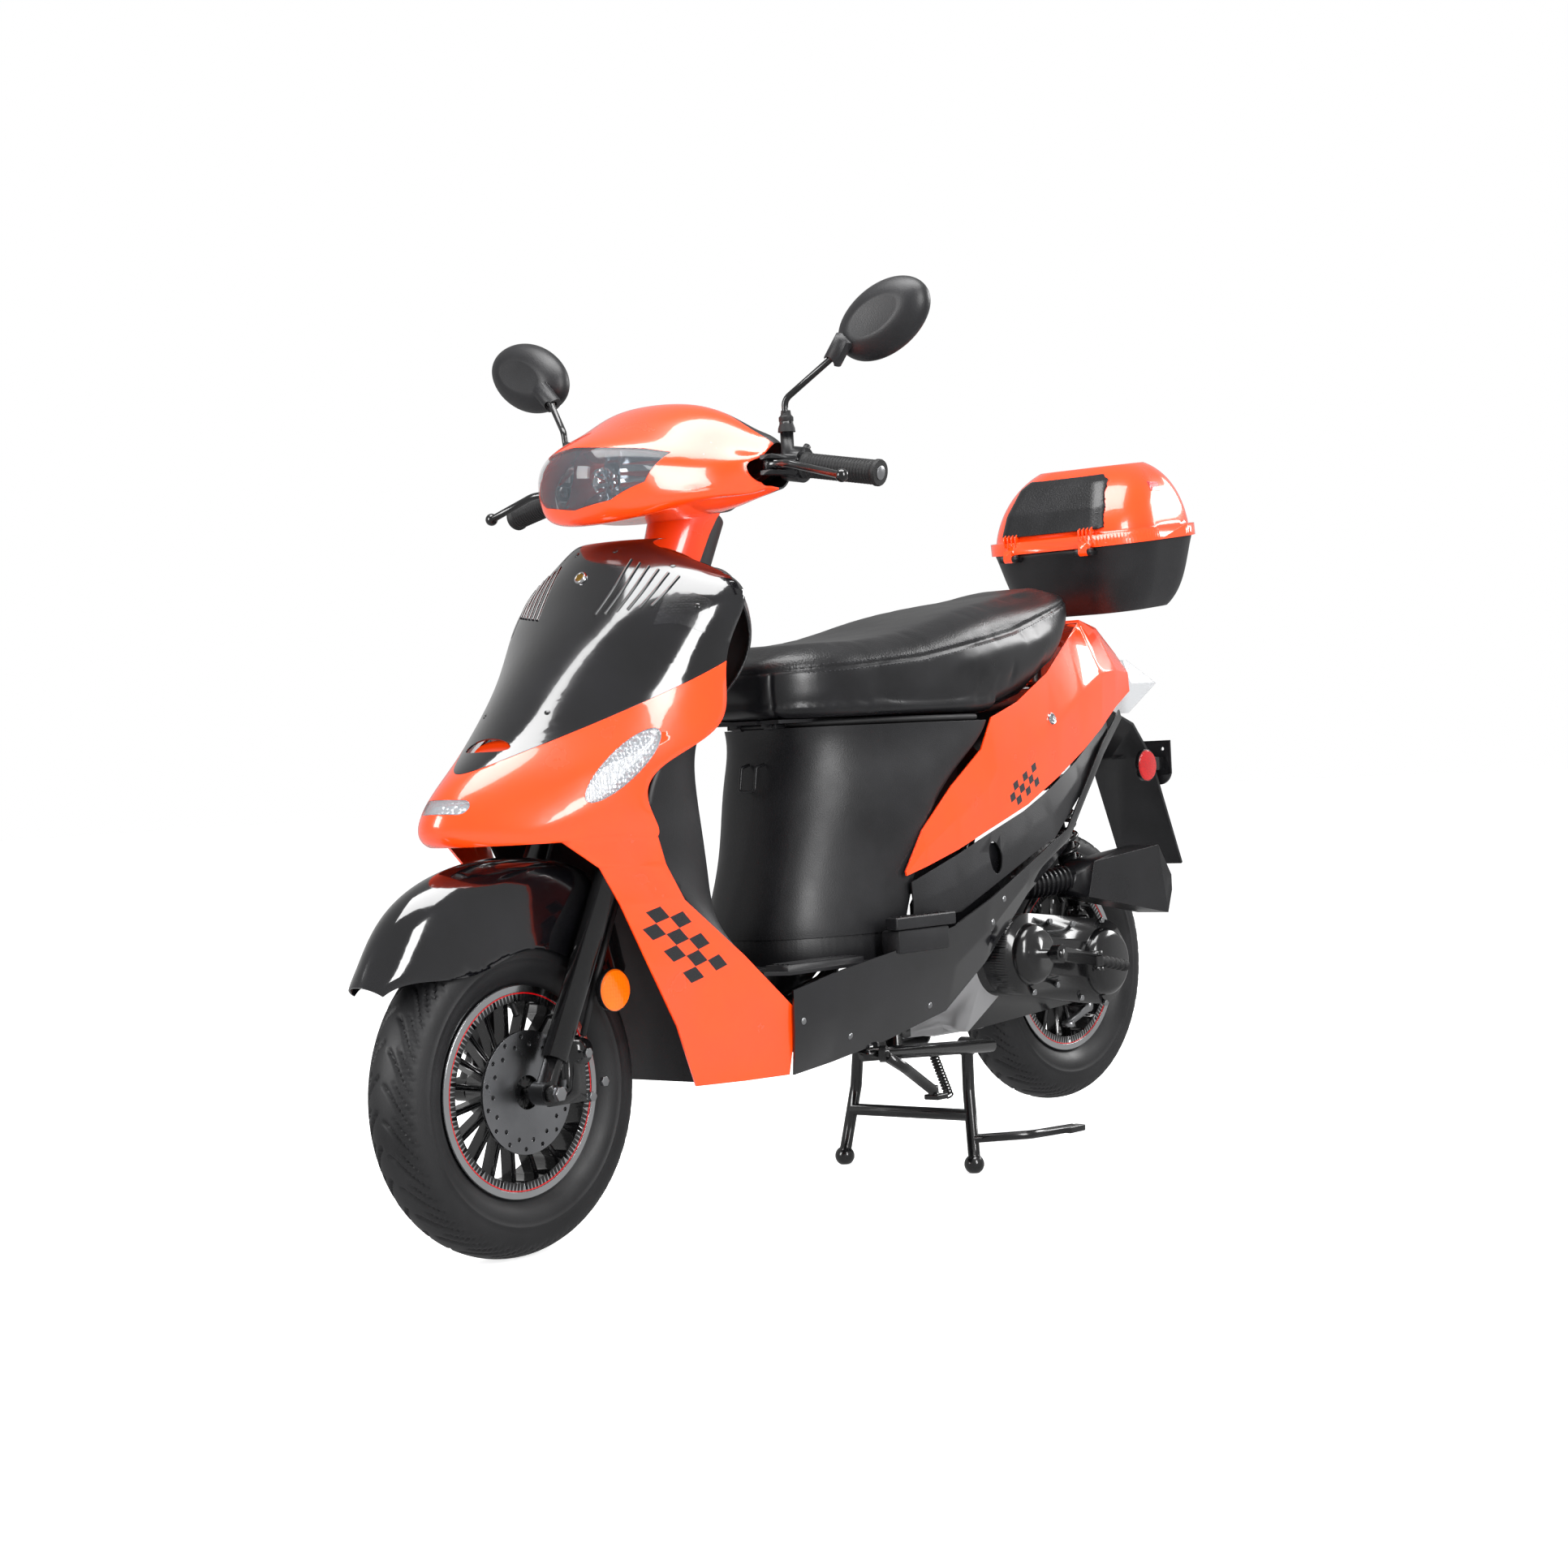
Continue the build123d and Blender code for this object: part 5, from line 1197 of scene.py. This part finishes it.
# ---- running gear ------------------------------------------------------------------------------------------------
@dataclass
class RunningGear:
    """Fasteners, reflectors and plates on the fork, engine and tail."""

    kit: Kit

    def fork(self) -> None:
        """Dress the fork and bolt its amber reflectors and caliper on."""
        self.kit.dress("fork_sliders", [BLACK_STEEL])
        bolts = []
        for y, z in ((-590, 262), (-562, 222), (-586, 205)):
            bolts.append(hexagon(mm(92, y, z), Vector((1, 0, 0)), 0.012, 0.006))
        bolts.append(hexagon(mm(96, -650, 216), Vector((1, 0, 0)), 0.017, 0.008))
        finish_piece(joined(bolts), "fork_bolts", "fork_lower", [ZINC])
        for side in (1, -1):
            name = "left" if side > 0 else "right"
            at, out = mm(side * 92, -532, 338), Vector((side, 0, 0))
            base = [(0.0, 0.002), (0.0285, 0.002), (0.0290, 0.0), (0.0290, -0.005), (0.0, -0.005)]
            finish_piece(turned(base, at, out, 48), f"reflector_base_{name}", "chassis", [BLACK_STEEL])
            lens = [(0.0, 0.0065), (0.018, 0.0060), (0.0255, 0.0045), (0.0275, 0.002), (0.0, 0.002)]
            finish_piece(turned(lens, at, out, 48), f"reflector_{name}", "chassis", [AMBER_LENS])

    def engine(self) -> None:
        """Bolt the belt cover and the engine's castings down."""
        self.kit.dress("engine_case", [BLACK_ALUMINIUM, CAST_ALUMINIUM],
                       lambda middle, _: 1 if middle.y < 0.345 and middle.z < 0.300 and middle.x < 0.085 else 0)
        skin = Skin(self.kit, ("cvt_cover",))
        heads = []
        for y, z in ((262, 350), (262, 280), (330, 256), (392, 262), (455, 236), (520, 222), (578, 250),
                     (586, 318), (520, 352), (440, 352), (380, 360)):
            found = skin.from_side(y, z)
            if found is not None:
                heads.append(hexagon(found[0], Vector((1, 0, 0)), 0.0085, 0.005))
        if heads:
            finish_piece(joined(heads), "cover_bolts", "swing_unit", [ZINC])

    def tail(self) -> None:
        """Set the round red reflectors on their arms at the tail."""
        for side in (1, -1):
            name = "left" if side > 0 else "right"
            at, out = mm(side * 66, 790, 588), Vector((side, 0, 0))
            base = [(0.0, 0.002), (0.0265, 0.002), (0.0270, 0.0), (0.0270, -0.004), (0.0, -0.004)]
            finish_piece(turned(base, at, out, 48), f"tail_reflector_base_{name}", "chassis", [BLACK_STEEL])
            lens = [(0.0, 0.0065), (0.016, 0.0060), (0.0235, 0.0045), (0.0255, 0.002), (0.0, 0.002)]
            finish_piece(turned(lens, at, out, 48), f"tail_reflector_{name}", "chassis", [RED_LENS])
            arm = prism([(0.0, -0.012), (0.062, -0.010), (0.062, 0.010), (0.0, 0.012)], 0.0025, 0.0006,
                        Matrix.Translation(mm(side * 63, 790, 590)) @ Matrix.Rotation(math.radians(90), 4, "Z")
                        @ Matrix.Rotation(math.radians(90), 4, "X"))
            finish_piece(arm, f"tail_reflector_arm_{name}", "chassis", [BLACK_STEEL])

    def mat(self) -> None:
        """Mould the long ribs of the floor mats and the treads of the passenger's steps."""
        ribs = []
        for side in (1, -1):
            for i in range(4):
                x = side * (110 + 9 * i)
                at = Matrix.Translation(mm(x - 2, -232, 344.5))
                ribs.append(prism([(0.0, 0.0), (0.004, 0.0), (0.004, 0.150), (0.0, 0.150)], 0.0022, 0.0007, at))
            for i in range(7):
                at = Matrix.Translation(mm(side * 169 - 9, -30 + 18 * i, 395.5))
                ribs.append(prism([(0.0, 0.0), (0.018, 0.0), (0.018, 0.004), (0.0, 0.004)], 0.0018, 0.0006, at))
        for i in range(9):
            at = Matrix.Translation(mm(-88 + 20 * i, -235, 336.5))
            ribs.append(prism([(0.0, 0.0), (0.006, 0.0), (0.006, 0.06), (0.0, 0.06)], 0.0018, 0.0006, at))
        finish_piece(joined(ribs), "mat_ribs", "chassis", [GRAINED_BLACK])

    def side_details(self) -> None:
        """Set the seat lock with its recess and the body's side screws."""
        skin = Skin(self.kit, ("side_panels",))
        skirts = Skin(self.kit, ("side_skirts", "front_shield", "seat_post_cover"))
        found = skin.from_side(440, 670)
        if found is not None:
            at, out = found
            bezel = [(0.0, 0.0012), (0.0062, 0.0012), (0.0066, 0.0030), (0.0084, 0.0032), (0.0094, 0.0014), (0.0095, -0.001),
                     (0.0, -0.001)]
            finish_piece(turned(bezel, at, out, 40), "seat_lock", "chassis", [CHROME])
        heads = []
        for side in (1, -1):
            for y, z in ((-228, 268), (-120, 236), (60, 262), (238, 404), (205, 372)):
                found = skirts.from_side(y, z, side)
                if found is not None:
                    heads.append(screw(found[0], found[1], 0.0048, 0.0016))
        finish_piece(joined(heads), "side_screws", "chassis", [ZINC])

    def build(self) -> None:
        """Build the running gear's details."""
        self.fork()
        self.engine()
        self.tail()
        self.mat()
        self.side_details()


# ---- trim that closes the bodywork ------------------------------------------------------------------------
@dataclass
class ClosingTrim:
    """The mouldings between the seat post cover, the floor and the skirts, and the cowl's neck."""

    kit: Kit
    foot: float = 0.3365
    foot_top: float = 0.3765

    def outline(self, node: str, low: float, high: float, half: float, back: float) -> list[tuple[float, float]]:
        """Return the convex outline of part of a CAD node, seen from above.

        Args:
            node: The CAD node.
            low: Lowest height taken in, in metres.
            high: Highest height taken in.
            half: Greatest distance from the middle plane.
            back: Furthest distance back.

        Returns:
            The outline's (x, y) corners, anticlockwise.
        """
        mesh = self.kit.merged(node)
        spots = sorted({(round(v.co.x, 4), round(v.co.y, 4)) for v in mesh.verts
                        if low < v.co.z < high and abs(v.co.x) < half and v.co.y < back})
        mesh.free()

        def chain(points: Iterable[tuple[float, float]]) -> list[tuple[float, float]]:
            """Return one side of the hull."""
            line: list[tuple[float, float]] = []
            for point in points:
                while len(line) > 1 and ((line[-1][0] - line[-2][0]) * (point[1] - line[-2][1])
                                         <= (line[-1][1] - line[-2][1]) * (point[0] - line[-2][0])):
                    line.pop()
                line.append(point)
            return line[:-1]

        return chain(spots) + chain(reversed(spots))

    def foot_moulding(self) -> None:
        """Mould the foot that joins the seat post cover to the floor."""
        around = self.outline("seat_post_cover", 0.370, 0.402, 0.1455, 0.034)
        inset = [(x * 0.985, -0.07 + (y + 0.07) * 0.985) for x, y in around]
        mesh = prism(inset, self.foot_top - self.foot, 0.002, Matrix.Translation((0, 0, self.foot)))
        finish_piece(mesh, "cover_foot", "chassis", [GRAINED_BLACK])

    def step_pods(self) -> None:
        """Mould the pod under each passenger's step."""
        pods = []
        for side in (1, -1):
            block = [(0.1460, -0.036), (0.1755, -0.030), (0.1755, 0.088), (0.1460, 0.096)]
            if side < 0:
                block = [(-x, y) for x, y in reversed(block)]
            pods.append(prism(block, 0.034, 0.004, Matrix.Translation((0, 0, 0.3435))))
        finish_piece(joined(pods), "step_pods", "chassis", [GRAINED_BLACK])

    def inner_walls(self) -> None:
        """Set the inner wall behind each side's trim, up to the step."""
        walls = []
        for side in (1, -1):
            outline = [(0.040, 0.352), (0.190, 0.352), (0.250, 0.410), (0.290, 0.430), (0.290, 0.488), (0.200, 0.488),
                       (0.070, 0.445), (0.040, 0.410)]
            turn = Matrix(((0, 0, 1, 0), (1, 0, 0, 0), (0, 1, 0, 0), (0, 0, 0, 1)))
            walls.append(prism(outline, 0.002, 0.0004, Matrix.Translation((side * 0.1425 - 0.001, 0, 0)) @ turn))
        finish_piece(joined(walls), "inner_walls", "chassis", [SATIN_BLACK])

    def seat_seal(self) -> None:
        """Lay the rubber seal round the top of the seat post cover."""
        around = self.outline("seat_post_cover", 0.655, 0.675, 0.16, 0.28)
        line = [Vector((x * 0.93, 0.05 + (y - 0.05) * 0.95, 0.6775)) for x, y in around]
        spaced = [line[0]]
        for point in line[1:]:
            if (point - spaced[-1]).length > 0.012:
                spaced.append(point)
        finish_piece(tube([*spaced, spaced[0]], 0.0048, "seal"), "seat_seal", "chassis", [RUBBER])

    def neck(self) -> None:
        """Mould the cowl's neck round the front of the steering column."""
        axis, foot = unit(0, 0.45399, 0.891007), mm(0, -623.27, 202.38)
        front = unit(0, -0.891007, 0.45399)
        mesh = bmesh.new()
        rings = []
        for height, half, depth in ((786, 44, 56), (832, 47, 62), (856, 52, 68), (876, 62, 80), (892, 78, 96)):
            ring = []
            for i in range(25):
                angle = math.pi * (i / 24 - 0.5)
                spot = foot + axis * (height / 1000) + Vector((half / 1000 * math.sin(angle), 0, 0))
                ring.append(mesh.verts.new(spot + front * (0.004 + depth / 1000 * math.cos(angle))))
            rings.append(ring)
        for lower, upper in zip(rings, rings[1:]):
            for i in range(24):
                mesh.faces.new((lower[i], lower[i + 1], upper[i + 1], upper[i]))
            mesh.faces.new((lower[24], lower[0], upper[0], upper[24]))
        mesh.faces.new(rings[0])
        mesh.faces.new(reversed(rings[-1]))
        bmesh.ops.recalc_face_normals(mesh, faces=mesh.faces[:])
        finish_piece(mesh, "cowl_neck", "steering", [ORANGE])

    def build(self) -> None:
        """Build the closing trim."""
        self.foot_moulding()
        self.step_pods()
        self.inner_walls()
        self.seat_seal()
        self.neck()


# ---- camera, light and floor ---------------------------------------------------------------------------
@dataclass
class Studio:
    """A pale floor, soft light and the camera."""

    place: Point = (2.76409, -3.32539, 0.63402)
    yaw: float = 130.48
    pitch: float = -0.55
    roll: float = -2.77
    lens: float = 67.825
    shift: float = 0.00772
    fill: float = 0.42
    paper_glow: float = 0.74

    def camera(self) -> None:
        """Place the camera at three-quarters from the scooter's left front."""
        yaw, pitch, roll = (math.radians(v) for v in (self.yaw, self.pitch, self.roll))
        look = Vector((math.cos(pitch) * math.cos(yaw), math.cos(pitch) * math.sin(yaw), math.sin(pitch)))
        right = look.cross(Vector((0, 0, 1))).normalized()
        up = right.cross(look)
        right_rolled = right * math.cos(roll) + up * math.sin(roll)
        up_rolled = up * math.cos(roll) - right * math.sin(roll)
        turn = Matrix((right_rolled, up_rolled, -look)).transposed().to_4x4()
        data = bpy.data.cameras.new("camera")
        data.sensor_width = 36.0
        data.lens = self.lens
        data.shift_x = self.shift
        data.clip_end = 200.0
        eye = bpy.data.objects.new("camera", data)
        eye.matrix_world = Matrix.Translation(self.place) @ turn
        bpy.context.scene.collection.objects.link(eye)
        bpy.context.scene.camera = eye

    def softbox(self, name: str, at: Point, towards: Point, size: tuple[float, float], power: float) -> None:
        """Hang one rectangular soft light.

        Args:
            name: Its name.
            at: Where it hangs.
            towards: What it points at.
            size: Width and height in metres.
            power: Watts.
        """
        data = bpy.data.lights.new(name, "AREA")
        data.shape = "RECTANGLE"
        data.size, data.size_y = size
        data.energy = power
        box = bpy.data.objects.new(name, data)
        aim = (Vector(towards) - Vector(at)).to_track_quat("-Z", "Y")
        box.matrix_world = Matrix.Translation(at) @ aim.to_matrix().to_4x4()
        bpy.context.scene.collection.objects.link(box)

    def floor(self) -> None:
        """Lay the pale floor."""
        mesh = bmesh.new()
        bmesh.ops.create_grid(mesh, x_segments=1, y_segments=1, size=30)
        data = bpy.data.meshes.new("floor")
        mesh.to_mesh(data)
        mesh.free()
        paper = bpy.data.materials.new("studio_paper")
        paper.use_nodes = True
        shader = paper.node_tree.nodes["Principled BSDF"]
        shader.inputs["Base Color"].default_value = linear("#F7F7F7")
        shader.inputs["Roughness"].default_value = 0.9
        shader.inputs["Emission Color"].default_value = (1.0, 1.0, 1.0, 1.0)
        shader.inputs["Emission Strength"].default_value = self.paper_glow
        data.materials.append(paper)
        ground = bpy.data.objects.new("floor", data)
        ground.location = (0, 0, -0.0005)
        ground.visible_glossy = False
        bpy.context.scene.collection.objects.link(ground)

    def sky(self) -> None:
        """Surround the scene with plain white."""
        world = bpy.data.worlds.new("studio")
        bpy.context.scene.world = world
        world.use_nodes = True
        tree = world.node_tree
        back = tree.nodes["Background"]
        back.inputs["Color"].default_value = (1.0, 1.0, 1.0, 1.0)
        seen = add_node(tree, "ShaderNodeLightPath").outputs["Is Camera Ray"]
        strength = add_node(tree, "ShaderNodeMapRange", {"Value": seen, "To Min": self.fill, "To Max": 1.0})
        tree.links.new(strength.outputs[0], back.inputs["Strength"])

    def build(self) -> None:
        """Set up the studio."""
        self.camera()
        self.floor()
        self.sky()
        self.softbox("top", (0.3, -0.4, 3.4), (0, 0, 0.5), (2.6, 1.6), 120)
        self.softbox("left_front", (3.4, -1.0, 1.9), (0, 0, 0.6), (0.9, 2.4), 95)
        self.softbox("front", (-1.2, -3.6, 1.8), (0, -0.3, 0.6), (1.0, 2.0), 80)
        self.softbox("back", (1.2, 3.4, 2.2), (0, 0.3, 0.7), (2.2, 1.0), 60)
        view = bpy.context.scene.view_settings
        view.view_transform = "Standard"
        view.look = "None"


PLAIN_NODES: dict[str, Finish] = {
    "frame": BLACK_STEEL, "inner_leg_shield": GRAINED_BLACK, "floorboard": GRAINED_BLACK,
    "side_skirts": GLOSS_BLACK, "rear_mudguard": GRAINED_BLACK, "rear_rack": BLACK_STEEL,
    "case_base": GRAINED_BLACK, "helmet_box": GRAINED_BLACK, "fuel_tank": SATIN_BLACK, "fork_yoke": BLACK_STEEL,
    "handlebar": BLACK_STEEL, "cowl_front": ORANGE, "cowl_rear": GRAINED_BLACK, "front_fender": GLOSS_BLACK,
    "switch_boxes": SATIN_BLACK, "brake_hose": RUBBER,
    "brake_caliper": BLACK_ALUMINIUM, "brake_disc": DISC_STEEL, "brake_lever_left": BLACK_ALUMINIUM,
    "brake_lever_right": BLACK_ALUMINIUM, "mirror_stem_left": BLACK_STEEL, "mirror_stem_right": BLACK_STEEL,
    "turn_signal_switch": GRAINED_BLACK, "horn_button": GRAINED_BLACK, "light_switch": GRAINED_BLACK,
    "starter_button": RED_LENS, "ignition_key": ZINC,
    "cvt_cover": BLACK_ALUMINIUM, "air_box": SATIN_BLACK, "exhaust": BLACK_STEEL, "kick_lever": BLACK_STEEL,
    "kick_pedal": RUBBER, "rear_brake_arm": ZINC, "shock_upper": BLACK_STEEL, "shock_lower": BLACK_STEEL,
    "shock_spring": BLACK_STEEL, "side_stand": BLACK_STEEL, "stand_spring": BLACK_STEEL, "seat_pan": GRAINED_BLACK,
    "case_latch": RED_LENS, "side_panels": ORANGE_PANEL, "tail_light": LENS,
    "seat_post_cover": GRAINED_BLACK, "centre_stand": BLACK_STEEL,
}


def main() -> None:
    """Build every piece of the scooter in order."""
    logging.basicConfig(level=logging.INFO, format="%(name)s: %(message)s")
    kit = Kit(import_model())
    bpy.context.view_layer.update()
    Studio().build()
    for node, finish in PLAIN_NODES.items():
        kit.dress(node, [finish])
    FrontBodywork(kit).build()
    Headlight(kit).build()
    Seat(kit).build()
    TopCase(kit).build()
    Controls(kit).build()
    RunningGear(kit).build()
    ClosingTrim(kit).build()
    Wheel(kit, "front", "front_wheel", mm(0, -650, 216)).build()
    Wheel(kit, "rear", "rear_wheel", mm(0, 582, 277)).build()


if __name__ == "__main__":
    main()
